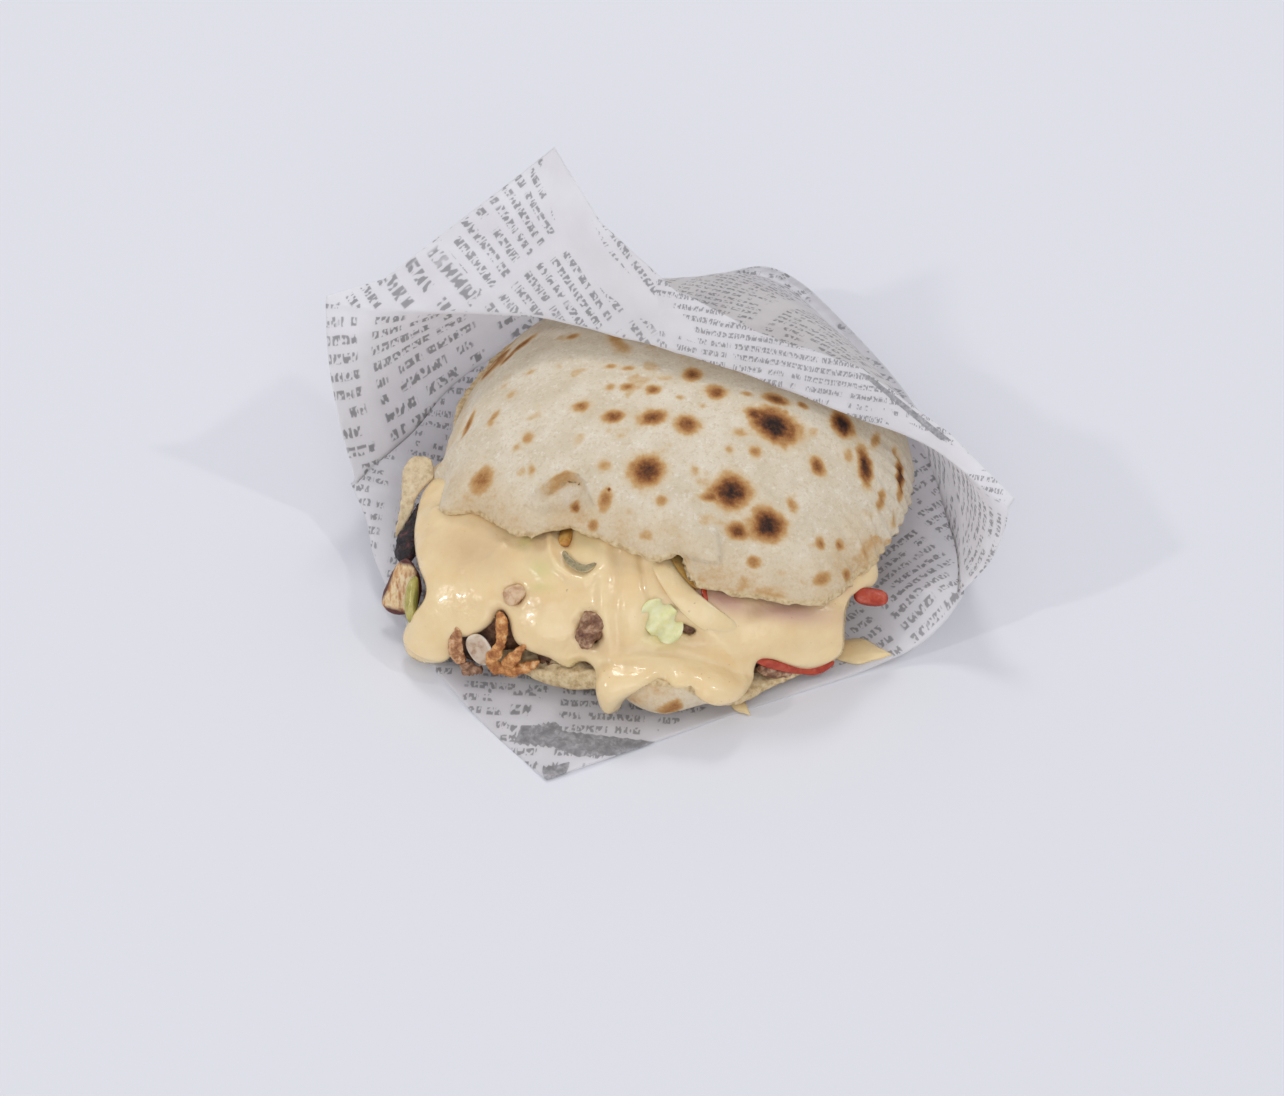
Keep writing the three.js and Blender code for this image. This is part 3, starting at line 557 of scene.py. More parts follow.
# outer skin: the dome, whose edge follows the torn edge only near it, with swells, ripples, the dent and the tear
def makeUpperBread():
    s = upperBread
    angle = np.linspace(0, 360, s["sides"], endpoint=False)[None, :]
    share = (1 - (1 - np.linspace(0, 1, s["outerRows"] + 1)[1:, None]) ** 1.35)
    plain = upperEdge(angle)[0]
    radius = share * mix(plain, tornRadius(angle), share ** 10)
    skin = polar(radius, angle, domeHeight(share, angle))
    normal = gridNormals(skin, joined=True)
    fade = smooth((1 - share) / 0.1)
    lift = s["swell"] * noise(skin, s["swellSize"], 3, 2) + s["ripple"] * noise(skin, s["rippleSize"], 5, 3)
    wrinkle = smooth((np.cos(np.radians(angle - 335)) - 0.86) / 0.1) * smooth((share - 0.8) / 0.12)
    lift = lift + 0.55 * wrinkle * np.sin(np.radians(angle) * 95 + 3 * noise(skin, 8, 9, 2))
    pixels = toPhoto(skin)
    facing = (normal @ viewAxis) < -0.05
    d = s["dent"]
    toBrim = segmentDistance(pixels, d["brim"]) / photo["pixelsPerMm"]
    toRest = segmentDistance(pixels, d["rest"]) / photo["pixelsPerMm"]
    inDent = insideOutline(pixels, d["brim"] + d["rest"])
    hollow = inDent * (1 - np.exp(-toBrim / d["drop"])) * smooth(toRest / d["fade"])
    crest = np.exp(-(toBrim / 1.5) ** 2) * smooth((pixels[..., 0] - 525) / 14) * smooth((592 - pixels[..., 0]) / 14)
    lift = lift + facing * (d["crest"] * crest * ~inDent - d["depth"] * hollow)
    tearLine = s["tear"]
    toTear = segmentDistance(pixels, tearLine) / photo["pixelsPerMm"]
    tongue = insideOutline(pixels, tearLine + [(740, 512), (900, 540), (900, 640), (676, 640)])
    side = np.where(tongue, 1, -1) * toTear
    fadeUp = smooth((pixels[..., 1] - 518) / 26)
    lift = lift - facing * fadeUp * s["tearStep"] * np.where(
        tongue, smooth(side / 0.5 + 0.5) * np.exp(-np.maximum(side, 0) / s["tearReach"]), smooth(side / 0.5 + 0.5) * 0.5)
    edgeRough = 0.5 * noise(skin, 3.2, 21, 2) * smooth((share - 0.93) / 0.07)
    outer = skin + normal * (lift + edgeRough)[..., None]
    outer[..., :2] += (unit(skin[..., :2] - np.array(breadShape["centre"]))
                       * (0.9 * noise(skin, 4.5, 23, 3) * smooth((share - 0.95) / 0.05) * openness(angle))[..., None])

    # inner skin: the outer one moved in by the thickness, with fewer rows
    pick = np.linspace(s["outerRows"] - 1, 6, s["innerRows"]).astype(int)
    thick = mix(breadShape["thickness"], s["thickness"], smooth((share[pick] - 0.85) / 0.15))
    inner = outer[pick] - gridNormals(outer, joined=True)[pick] * thick[..., None]
    inner += 0.25 * normal[pick] * noise(inner, 4, 31, 2)[..., None]

    # rim: half a circle from the outer to the inner skin
    out, into = outer[-1], inner[0]
    forward = unit(outer[-1] - outer[-4])
    turn = np.linspace(0, np.pi, s["rimRows"] + 2)[1:-1, None, None]
    half = (out - into) / 2
    rim = (out + into) / 2 + half * np.cos(turn) + forward * np.sin(turn) * np.linalg.norm(half, axis=-1, keepdims=True)
    rim += forward * (0.5 * noise(rim, 2.2, 41, 3) * np.sin(turn[..., 0]))[..., None]
    rings = np.concatenate([outer, rim, inner])
    rows = len(rings)
    crown = polar(0.0, 0.0, breadShape["crownHeight"] + lift[0].mean())
    points = np.concatenate([rings.reshape(-1, 3), [crown], [crown - [0, 0, breadShape["thickness"]]]])

    # how toasted each place is: soft ovals, each darkest in its middle
    outerPixels = toPhoto(outer)
    toast = np.zeros(outer.shape[:2])
    tangent = gridNormals(outer, joined=True)
    for x, y, length, width, angleTurn, dark in toastSpots:
        far = np.hypot(outerPixels[..., 0] - x, outerPixels[..., 1] - y) + 1000 * ~facing
        at = np.unravel_index(np.argmin(far), far.shape)
        out = tangent[at]
        right = unit(viewRight - out * (viewRight @ out))
        up = np.cross(out, right)
        away = outer - outer[at]
        c, q = math.cos(math.radians(angleTurn)), math.sin(math.radians(angleTurn))
        u, v = away @ right, away @ up
        reach = np.hypot((u * c + v * q) / (0.5 * length), (v * c - u * q) / (0.5 * width))
        reach = np.maximum(reach * (1 + 0.3 * noise(outer, 0.4 * length + 1.5, 51, 3)) + 0.14 * noise(outer, 1.6, 53, 2), 0)
        near = np.linalg.norm(away, axis=-1) < 1.6 * max(length, width)
        toast = np.maximum(toast, near * dark * np.exp(-(reach / 0.98) ** 2.2))
    # the closed seam round the back is browned, and faint spots lie where the photograph shows none
    back = smooth((np.cos(np.radians(angle - 110)) - 0.2) / 0.5) * smooth((share - 0.86) / 0.12)
    toast = np.maximum(toast, back * smooth(0.55 + 0.9 * noise(outer, 11, 57, 3)) * 0.62)
    unseen = smooth((outer[..., 1] - 22) / 22)
    blotches = smooth((noise(outer, 15, 61, 2) - 0.3) / 0.34)
    toast = np.maximum(toast, unseen * blotches * (0.55 + 0.45 * noise(outer, 30, 63, 1)))
    faint = smooth((noise(outer, 6, 67, 2) - 0.36) / 0.3) * 0.2
    toast = np.maximum(toast, faint * (share < 0.97))

    # painted shade, partly a toasted ridge: a brown band along the dent's brim and just below it, where the brim shades
    # the hollow
    toast = np.maximum(toast, facing * np.exp(-((toBrim - 0.8 * inDent) / 1.5) ** 2)
                       * smooth((pixels[..., 0] - 524) / 34) * smooth((594 - pixels[..., 0]) / 28)
                       * (0.3 + 0.08 * noise(outer, 3, 70, 2)))
    toast = np.maximum(toast, openness(angle) * smooth((share - 0.7) / 0.26) * (0.145 + 0.08 * noise(outer, 7, 72, 2)))
    toast = np.maximum(toast, facing * tongue * smooth((share - 0.86) / 0.14) * (0.2 + 0.24 * noise(outer, 5, 69, 3)))
    full = np.zeros((rows, s["sides"]))
    full[:len(outer)] = toast
    crumb = np.zeros((rows, s["sides"]))
    crumb[len(outer):] = 1
    crumb[:len(outer)] = smooth((share - 0.985) / 0.015) * openness(angle)
    values = dict(toast=np.append(full.ravel(), [0, 0]), crumb=np.append(crumb.ravel(), [0, 1]))
    faces = closedFaces(rows, s["sides"])
    return makePiece("bread_upper", points, faces, breadCrust(), ("flatbread",), values)


# floury crust: mottled cream, spots from tan to dark brown by the piece's own values of toasting and painted shade,
# pale crumb where it is torn
def breadCrust():
    if "bread crust" in bpy.data.materials:
        return bpy.data.materials["bread crust"]
    material, tree, shader = newMaterial("bread crust", **{"Roughness": 0.88, "Specular IOR Level": 0.2,
                                                         "Subsurface Weight": 0.1, "Subsurface Scale": 0.003,
                                                         "Subsurface Radius": (1.0, 0.75, 0.5)})
    place = objectMm(tree)
    flour = ramp(tree, noiseOut(tree, place, 12, 5, 0.6), [(0.34, (214, 199, 173)), (0.52, (224, 211, 188)), (0.7, (232, 221, 202))])
    fleck = greyRamp(tree, noiseOut(tree, place, 1.5, 4, 0.75), 0.49, 0.66)
    flour = blendColours(tree, calc(tree, "MULTIPLY", fleck, 0.5), flour, linear((194, 170, 134)))
    chalk = greyRamp(tree, noiseOut(tree, place, 2.1, 4, 0.75), 0.55, 0.66)
    flour = blendColours(tree, calc(tree, "MULTIPLY", chalk, 0.4), flour, linear((246, 240, 228)))
    grain = calc(tree, "SUBTRACT", noiseOut(tree, place, 1.5, 5, 0.7), 0.5)
    toast = attribute(tree, "toast")
    toast = calc(tree, "ADD", toast, calc(tree, "MULTIPLY", grain, calc(tree, "MULTIPLY", toast, 1.0)))
    brown = ramp(tree, toast, [(0.0, (222, 203, 168)), (0.16, (212, 183, 140)), (0.32, (194, 150, 98)), (0.5, (158, 106, 62)),
                               (0.68, (116, 72, 44)), (0.86, (74, 49, 37)), (1.0, (46, 34, 30))])
    colour = blendColours(tree, greyRamp(tree, toast, 0.03, 0.24), flour, brown)
    crumbColour = ramp(tree, noiseOut(tree, place, 2.0, 5, 0.6),
                       [(0.3, (176, 146, 104)), (0.5, (214, 190, 148)), (0.75, (232, 214, 178))])
    colour = blendColours(tree, attribute(tree, "crumb"), colour, crumbColour)
    tree.links.new(colour, shader.inputs["Base Color"])
    cells = cellsOut(tree, place, 1.5, "SMOOTH_F1")
    height = calc(tree, "ADD", calc(tree, "MULTIPLY", cells, 0.5), noiseOut(tree, place, 0.9, 5, 0.7))
    height = calc(tree, "ADD", height, calc(tree, "MULTIPLY", noiseOut(tree, place, 4.0, 2, 0.5), 0.8))
    addBump(tree, shader, height, 0.4, 0.8)
    return material


makeUpperBread()
print("upper layer of bread made")


# ---- bread, lower layer

lowerBread = dict(
    rows=84, rimRows=7, sides=480,
    rimOut=1.2,  # how far its rim shows past the upper layer round the back
    # radius of its rim in the mouth, before the front of it curls up
    mouthRim=[[184, 66], [192, 72], [198, 79], [206, 84], [214, 87], [225, 88.5], [240, 88.5], [248, 88], [253, 89.5], [258, 97], [263, 104], [268, 106.5],
              [273, 103], [278, 97], [284, 89.5], [292, 83.5], [302, 83], [308, 85], [312, 83.5], [316, 78.5], [320, 75],
              [328, 72], [340, 74]],
    curlAngle=267, curlSpread=11, curlReach=20, curlTurn=150,  # the front curls up: its middle, spread, length, turn
    tornAngle=247, tornSpread=9, tornThickness=4.2,  # a thick torn piece of edge: its middle, spread, extra height
)


def lowerRim(angle):
    s = lowerBread
    own = through(s["mouthRim"], np.clip(angle, 184, 340), 1)
    shown = mix(-3.5, s["rimOut"], smooth((np.cos(np.radians(angle - 110)) - 0.3) / 0.5))
    return mix(rimAt(angle) + shown, own, smooth((angle - 174) / 10) * smooth((338 - angle) / 16))


# underside: the curved plate, whose last stretch turns up along an arc in front
def lowerUnder(share, angle):
    s = lowerBread
    reach = share * lowerRim(angle)
    start = lowerRim(angle) - s["curlReach"]
    arc = np.maximum(reach - start, 0)
    turn = arc / s["curlReach"] * math.radians(s["curlTurn"]) * bumpAt(angle, s["curlAngle"], s["curlSpread"]) + 1e-6
    out = np.minimum(reach, start) + arc * np.sin(turn) / turn
    rise = arc * (1 - np.cos(turn)) / turn
    return polar(out, angle, lowerSkin(np.minimum(reach, rimAt(angle)), angle) + rise)


def lowerThickness(share, angle):
    s = lowerBread
    thick = mix(breadShape["thickness"], breadShape["edgeThickness"], smooth((share - 0.8) / 0.2))
    return thick + s["tornThickness"] * bumpAt(angle, s["tornAngle"], s["tornSpread"]) * smooth((share - 0.8) / 0.12)


def lowerSkins(share, angle):  # underside and upper side, with the bread's small unevenness
    under = lowerUnder(share, angle)
    normal = gridNormals(under, joined=angle.shape[1] > 400 and np.ptp(angle) > 350)
    rough = smooth((share - 0.7) / 0.1)
    under = under + normal * (-0.35 * noise(under, 8, 71, 3) * rough)[..., None]
    torn = bumpAt(angle, lowerBread["tornAngle"], lowerBread["tornSpread"]) * rough
    thick = lowerThickness(share, angle) + (0.35 + 1.5 * torn) * noise(under, 4.5, 79, 3) * rough
    return under, under + normal * np.maximum(thick, 1.2)[..., None]


def makeLowerBread():
    s = lowerBread
    angle = np.linspace(0, 360, s["sides"], endpoint=False)[None, :]
    share = (1 - (1 - np.linspace(0, 1, s["rows"] + 1)[1:, None]) ** 1.5)
    under, upper = lowerSkins(share, angle)
    half = (under[-1] - upper[-1]) / 2
    forward = unit(under[-1] - under[-5])
    turn = np.linspace(0, np.pi, s["rimRows"] + 2)[1:-1, None, None]
    edge = (under[-1] + upper[-1]) / 2 + half * np.cos(turn) + forward * np.sin(turn) * 1.4
    edge += forward * (1.1 * noise(edge, 2.4, 73, 3) * np.sin(turn[..., 0]))[..., None]
    inner = upper[np.linspace(s["rows"] - 1, 3, s["rows"] // 2).astype(int)]
    rings = np.concatenate([under, edge, inner])
    rings[..., 2] = np.maximum(rings[..., 2], 1.0)
    rows = len(rings)
    low = polar(0.0, 0.0, breadShape["underside"])
    points = np.concatenate([rings.reshape(-1, 3), [low], [low + [0, 0, breadShape["thickness"]]]])
    toast = np.zeros((rows, s["sides"]))
    skin = rings[:len(under)]
    toast[:len(under)] = smooth((noise(skin, 9, 75, 3) - 0.02) / 0.5) * 0.44
    browned = smooth((np.cos(np.radians(angle - 140)) - 0.2) / 0.5) * smooth((share - 0.9) / 0.08)
    lip = bumpAt(angle, 266, 14) * smooth((share - 0.82) / 0.1)
    toast[:len(under)] = np.maximum(toast[:len(under)], lip * (0.12 + 0.1 * smooth(0.3 + 1.3 * noise(skin, 6, 76, 3))))
    toast[:len(under)] = np.maximum(toast[:len(under)], browned * smooth(0.6 + noise(skin, 10, 77, 3)) * 0.7)
    crumb = np.zeros((rows, s["sides"]))
    crumb[len(under):] = 1
    crumb[:len(under)] = smooth((share - 0.985) / 0.015) * openness(angle)
    values = dict(toast=np.append(toast.ravel(), [0, 0]), crumb=np.append(crumb.ravel(), [0, 1]))
    return makePiece("bread_lower", points, [f[::-1] for f in closedFaces(rows, s["sides"])], breadCrust(),
                     ("flatbread",), values)


makeLowerBread()
print("lower layer of bread made")


# ---- paper bag

paperMesh = dict(lowerSides=(120, 220), lowerRows=70, acrossSteps=300, flapRows=44, backRows=70,
                 # print on the upper sheet: share across, on the flap or the wall behind, and what its rows follow:
                 # the fold, the photograph's frame or half of each; their turn and size, where they are counted from
                 printZones=[dict(flap=True, share=(0, 0.5), along="fold", turn=47, size=0.95),
                             dict(flap=True, share=(0.5, 1.1), along="frame", turn=-9, size=1.55, middle=(640, 360)),
                             dict(flap=False, share=(0, 0.34), along="both", turn=2, size=0.83, middle=(404, 300)),
                             dict(flap=False, share=(0.34, 0.72), along="fold", turn=0, size=1.0),
                             dict(flap=False, share=(0.72, 1.1), along="fold", turn=78, size=1.2)],
                 lowerTurn=-4,  # direction of the print on the lower sheet
                 crumple=0.7, crumpleSize=30)


def makeLowerSheet():
    s = paperMesh
    outline, inner = sheetOutline(s["lowerSides"][0], s["lowerSides"][1])
    share = np.linspace(0, 1, s["lowerRows"] + 1)[1:, None]
    middle = np.array([*paperShape["centre"], 0.0])
    flat = mix(middle[:2], inner[None, :, :2], share[..., None])
    lift = smooth((share - paperShape["liftStart"]) / (1 - paperShape["liftStart"]))
    height = inner[None, :, 2] * lift + paperShape["solidThickness"] - paperShape["thickness"] / 2
    rings = np.concatenate([flat, height[..., None]], axis=-1)
    strip = outline + [0, 0, paperShape["solidThickness"] - paperShape["thickness"] / 2]
    rings = np.concatenate([rings, strip[None]])
    # free edges ripple a little and never sink below the table
    shareAll = np.concatenate([share, [[1.04]]])
    wave = 0.9 * noise(rings, 26, 81, 2) * smooth((shareAll - 0.62) / 0.3)
    rings[..., 2] = np.maximum(rings[..., 2] + wave, paperShape["thickness"] / 2 + 0.02)
    sides = rings.shape[1]
    points = np.concatenate([rings.reshape(-1, 3), [middle + [0, 0, 0.5]]])
    j = np.arange(sides)
    fan = np.stack([np.full(sides, len(points) - 1), j, (j + 1) % sides], axis=-1).tolist()
    faces = gridQuads(len(rings), sides, joined=True).tolist() + fan
    turn = math.radians(s["lowerTurn"])
    right = smooth((points[:, 0] - 18) / 0.1)
    turn = turn + right * math.radians(34)
    x, y = points[:, 0] + 500 * right, points[:, 1]
    uv = np.stack([x * np.cos(turn) + y * np.sin(turn), y * np.cos(turn) - x * np.sin(turn)], axis=-1) * mm
    corners = np.array([k for face in faces for k in face])
    piece = makePiece("paper_lower", points, faces, newsPaper(), ("paper_bag",), printValues(points),
                      uv[corners])
    solid = piece.modifiers.new("thickness", "SOLIDIFY")
    solid.thickness = paperShape["thickness"] * mm
    solid.offset = 0
    return piece


# the upper sheet: straight from its cut edge to the fold, then a curved wall down to the seam
def makeUpperSheet():
    s = paperMesh
    at = np.linspace(0, 1, s["acrossSteps"] + 1)
    cut, fold, bulge = sheetCurve(1, at), sheetCurve(2, at), sheetCurve(3, at)
    seam = inwards(sheetCurve(4, at), seamWidthAt(at) + paperShape["overlap"])
    down = np.linspace(0, 1, s["flapRows"], endpoint=False)[:, None, None]
    flap = mix(cut, fold, down)
    t = np.linspace(0, 1, s["backRows"], endpoint=False)[:, None, None]
    back = (1 - t) ** 2 * fold + 2 * t * (1 - t) * bulge + t * t * seam
    seamLift = [0, 0, paperShape["solidThickness"] + 0.1]
    strip = np.stack([seam, inwards(sheetCurve(4, at), paperShape["overlap"])]) + seamLift
    grid = np.concatenate([flap, back, strip])
    # the fold is a soft roll
    rows = len(grid)
    near = np.arange(rows)[:, None, None] - s["flapRows"]
    softened = grid.copy()
    for step in range(6):
        softened[1:-1] = (softened[:-2] + 2 * softened[1:-1] + softened[2:]) / 4
    grid = mix(grid, softened, np.exp(-(near / 7.0) ** 2))
    normal = gridNormals(grid)
    ridged = 1 - 2 * np.abs(noise(grid, s["crumpleSize"], 85, 2))
    free = smooth((rows - 4 - np.arange(rows)[:, None]) / 8)
    lift = s["crumple"] * ridged * free + 0.25 * noise(grid, 9, 87, 3) * free
    # the right part of the cut edge is crumpled
    byEdge = smooth(1 - np.arange(rows)[:, None] / (0.9 * s["flapRows"])) * smooth((at - 0.5) / 0.08) * smooth((0.86 - at) / 0.1)
    lift = lift + 1.5 * byEdge * (1 - 2 * np.abs(noise(grid, 17, 89, 2)))
    grid = grid + normal * lift[..., None]
    columns = grid.shape[1]
    # flat coordinates in mm for the print; each zone of it has its own direction and line space
    along = np.concatenate([[0], np.cumsum(np.linalg.norm(np.diff(fold, axis=0), axis=1))])
    steps = np.linalg.norm(np.diff(grid, axis=0), axis=-1)
    away = np.concatenate([np.zeros((1, columns)), np.cumsum(steps, axis=0)])
    away = away - away[s["flapRows"]]
    rolled = np.stack([np.broadcast_to(along, away.shape), away], axis=-1).reshape(-1, 2)
    seen = toPhoto(grid).reshape(-1, 2)
    faces = gridQuads(rows, columns)
    row, share = faces[:, 0] // columns, (faces[:, 0] % columns) / columns
    uv = np.zeros((len(faces), 4, 2))
    for number, zone in enumerate(s["printZones"]):
        first, last = zone["share"]
        chosen = (share >= first) & (share < last) & (row < s["flapRows"] - 1 if zone["flap"] else row >= s["flapRows"] - 1)
        if zone["along"] == "fold":
            flat = rolled[faces[chosen]]
        else:
            flat = (seen[faces[chosen]] - zone["middle"]) * [1, -1] / photo["pixelsPerMm"]
            if zone["along"] == "both":
                flat = 0.5 * flat + 0.5 * rolled[faces[chosen]] * [1, -1]
        c, q = math.cos(math.radians(zone["turn"])), math.sin(math.radians(zone["turn"]))
        flat = np.stack([flat[..., 0] * c + flat[..., 1] * q, flat[..., 1] * c - flat[..., 0] * q], axis=-1)
        uv[chosen] = (flat * zone["size"] + 400 * number) * mm
    values = printValues(grid, np.arange(rows)[:, None] < s["flapRows"])
    piece = makePiece("paper_upper", grid, faces.tolist(), newsPaper(), ("paper_bag",), values,
                      uv.reshape(-1, 2))
    solid = piece.modifiers.new("thickness", "SOLIDIFY")
    solid.thickness = paperShape["thickness"] * mm
    solid.offset = 0
    return piece


# where the paper is blank, where its marks are large or close together, and where plain dark blocks are, in pixels
printAreas = dict(
    blanks=[[(545, 136), (541, 178), (556, 222), (578, 258), (604, 292), (640, 318), (700, 345), (692, 322), (640, 285),
             (606, 250), (585, 205), (572, 160)], [(860, 398), (1000, 470), (940, 470)],
            [(580, 770), (735, 694), (890, 652), (900, 668), (740, 735), (600, 790)]],
    larges=[[(375, 300), (395, 265), (440, 240), (480, 290), (470, 312), (400, 312)], [(486, 690), (530, 690), (575, 730), (520, 745)]],
    bolds=[[(640, 285), (690, 262), (760, 262), (810, 290), (886, 375), (850, 388), (700, 345)]],
    blocks=[[(520, 728), (556, 722), (562, 731), (655, 742), (640, 755), (575, 757), (556, 748), (514, 744)],
            [(541, 768), (572, 762), (566, 776), (545, 781)], [(858, 372), (870, 376), (952, 441), (940, 440)]],
)


def printValues(points, near=1.0):
    pixels = toPhoto(points)
    values = {}
    for key, areas in printAreas.items():
        share = np.zeros(points.shape[:-1])
        for area in areas:
            side = segmentDistance(pixels, area, closed=True) * np.where(insideOutline(pixels, area), 1, -1)
            share = np.maximum(share, smooth(side / 3 + 0.5) * near)
        values[key[:-1]] = share
    return values


# illegible marks in rows: blobs in words along a row, rows a fixed space apart, columns with gaps between them
def rowsOfMarks(tree, flat, rowSpace, columnWidth):
    parts = addNode(tree, "ShaderNodeSeparateXYZ", {"Vector": flat})
    x, y = parts.outputs["X"], parts.outputs["Y"]
    down = calc(tree, "DIVIDE", y, rowSpace)
    row = calc(tree, "FLOOR", down)
    offMiddle = calc(tree, "ABSOLUTE", calc(tree, "SUBTRACT", calc(tree, "FRACT", down), 0.5))
    lift = calc(tree, "MULTIPLY", noiseOut(tree, flat, rowSpace * 0.4, 1, 0.5), 0.16)
    band = calc(tree, "SUBTRACT", 1.0, greyRamp(tree, calc(tree, "SUBTRACT", offMiddle, lift), 0.15, 0.21))
    column = greyRamp(tree, calc(tree, "ABSOLUTE", calc(tree, "SUBTRACT", calc(tree, "FRACT", calc(tree, "DIVIDE", x, columnWidth)), 0.5)), 0.44, 0.42)
    column = calc(tree, "MAXIMUM", column, attribute(tree, "bold"))
    wordPlace = addNode(tree, "ShaderNodeCombineXYZ", {"X": calc(tree, "DIVIDE", x, rowSpace * 0.95),
                                                       "Y": calc(tree, "MULTIPLY", row, 7.3)}).outputs[0]
    close = calc(tree, "MULTIPLY", attribute(tree, "bold"), 0.07)
    words = greyRamp(tree, calc(tree, "ADD", noiseOut(tree, wordPlace, 1.0, 1, 0.5), close), 0.4, 0.43)
    markPlace = addNode(tree, "ShaderNodeCombineXYZ", {"X": calc(tree, "DIVIDE", x, rowSpace * 0.17),
                                                       "Y": calc(tree, "DIVIDE", y, rowSpace * 0.33)}).outputs[0]
    marks = greyRamp(tree, noiseOut(tree, markPlace, 1.0, 0, 0.5), 0.42, 0.52)
    gaps = greyRamp(tree, calc(tree, "FRACT", calc(tree, "DIVIDE", x, rowSpace * 0.55)), 0.14, 0.24)
    marks = calc(tree, "MULTIPLY", marks, gaps)
    return calc(tree, "MULTIPLY", calc(tree, "MULTIPLY", band, column), calc(tree, "MULTIPLY", words, marks))


# thin white paper, through which light comes, with plain grey marks
def newsPaper():
    if "printed paper" in bpy.data.materials:
        return bpy.data.materials["printed paper"]
    material, tree, shader = newMaterial("printed paper", **{"Roughness": 0.6, "Specular IOR Level": 0.3})
    uv = addNode(tree, "ShaderNodeUVMap", uv_map="flatPaper").outputs["UV"]
    flat = addNode(tree, "ShaderNodeMapping", {"Vector": uv, "Scale": (1000, 1000, 1000)}).outputs["Vector"]
    bent = addNode(tree, "ShaderNodeVectorMath", {0: noiseColour(tree, flat, 30), 1: (2.4, 2.4, 0)}, operation="MULTIPLY").outputs[0]
    bent = addNode(tree, "ShaderNodeVectorMath", {0: flat, 1: bent}, operation="ADD").outputs[0]
    small = rowsOfMarks(tree, bent, 5.5, 32.0)
    large = rowsOfMarks(tree, bent, 8.6, 60.0)
    isLarge = greyRamp(tree, attribute(tree, "large"), 0.4, 0.6)
    ink = mixFloat(tree, isLarge, small, large)
    ink = calc(tree, "MULTIPLY", ink, calc(tree, "SUBTRACT", 1.0, greyRamp(tree, attribute(tree, "blank"), 0.3, 0.6)))
    ink = calc(tree, "MULTIPLY", ink, mixValue(tree, noiseOut(tree, flat, 26, 2, 0.5), 0.6, 1.0))
    block = calc(tree, "MULTIPLY", greyRamp(tree, attribute(tree, "block"), 0.42, 0.58),
                 greyRamp(tree, noiseOut(tree, flat, 3.0, 5, 0.7, 0.4), 0.22, 0.6))
    ink = calc(tree, "MAXIMUM", ink, block)
    white = ramp(tree, noiseOut(tree, flat, 18, 3, 0.5), [(0.3, (246, 244, 245)), (0.7, (252, 251, 252))])
    colour = blendColours(tree, calc(tree, "MULTIPLY", ink, 0.57), white, linear((92, 88, 90)))
    tree.links.new(colour, shader.inputs["Base Color"])
    height = calc(tree, "ADD", noiseOut(tree, flat, 14, 5, 0.6, 0.6), calc(tree, "MULTIPLY", noiseOut(tree, flat, 2.4, 3, 0.6), 0.12))
    addBump(tree, shader, height, 0.3, 1.6)
    glow = addNode(tree, "ShaderNodeBsdfTranslucent", {"Color": colour})
    both = addNode(tree, "ShaderNodeMixShader", {0: 0.6, 1: shader.outputs[0], 2: glow.outputs[0]})
    tree.links.new(both.outputs[0], tree.nodes["Material Output"].inputs["Surface"])
    return material


def noiseColour(tree, vector, size):
    node = addNode(tree, "ShaderNodeTexNoise", {"Vector": vector, "Scale": 1 / size, "Detail": 1.0})
    return addNode(tree, "ShaderNodeVectorMath", {0: node.outputs["Color"], 1: (0.5, 0.5, 0.5)}, operation="SUBTRACT").outputs[0]


def mixFloat(tree, share, a, b):
    return addNode(tree, "ShaderNodeMix", {0: share, 2: a, 3: b}).outputs[0]


makeLowerSheet()
makeUpperSheet()
print("paper bag made")


# ---- filling core

coreShape = dict(rows=90, sides=320, lump=1.7, lumpSize=5, footInset=8, rightInset=9, sideInset=3.5)


def makeCore():
    s = coreShape
    angle = np.linspace(0, 360, s["sides"], endpoint=False)[None, :]
    heapRows = s["rows"] * 2 // 3
    pocketRows = s["rows"] - heapRows
    topRadius, topHeight, footRadius, footHeight = heapEnds(angle)
    pocket = np.linspace(0, 1, pocketRows + 1)[1:, None]
    wide = openness(angle)
    room = mix(breadShape["underBreadClosed"], breadShape["underBreadMouth"] + 1.4, wide * pocket ** 2)
    reach = topRadius * pocket
    top = polar(reach, angle, domeHeight(reach / upperEdge(angle)[0], angle) - room)
    share = np.linspace(0, 1, heapRows + 1)[1:, None]
    rim = rimAt(angle)
    over = smooth((angle - 200) / 3) * smooth((240 - angle) / 4)
    foot = mix(np.minimum(footRadius, rim - 1), footRadius - s["footInset"], over)
    foot = foot - s["rightInset"] * smooth((angle - 312) / 8) * smooth((352 - angle) / 10)
    part = np.clip((foot - topRadius) / (footRadius - topRadius), 0.02, 1)
    lastShare = np.arcsin(part ** (1 / breadShape["heapBulge"])) / (np.pi / 2)
    heap = heapPoint(share * lastShare, angle)
    skin = np.concatenate([top, heap])
    normal = gridNormals(skin, joined=True)
    lumps = s["lump"] * (noise(skin, s["lumpSize"], 91, 4) - 0.6) - s["sideInset"] * bumpAt(angle, 208, 10)
    skin = skin + normal * (lumps * smooth((np.arange(s["rows"]) / s["rows"] - 0.1) / 0.2)[:, None])[..., None]
    floorRows = 14
    inward = np.linspace(1, 0, floorRows + 1)[:-1, None]
    base = polar(foot * inward, angle, 0)
    onBread = lowerTop(np.minimum(foot * inward, rim), angle) + 0.6
    onPaper = paperHeight(base[..., 0], base[..., 1]) + 0.3
    base[..., 2] = mix(onBread, onPaper, smooth((foot * inward - rim) / 2))
    rings = np.concatenate([skin, base])
    points = np.concatenate([rings.reshape(-1, 3), [polar(0.0, 0.0, 60.3)], [polar(0.0, 0.0, 6.3)]])
    return makePiece("filling", points, closedFaces(len(rings), s["sides"]), meatMaterial("minced filling"),
                     ("filling_core",))


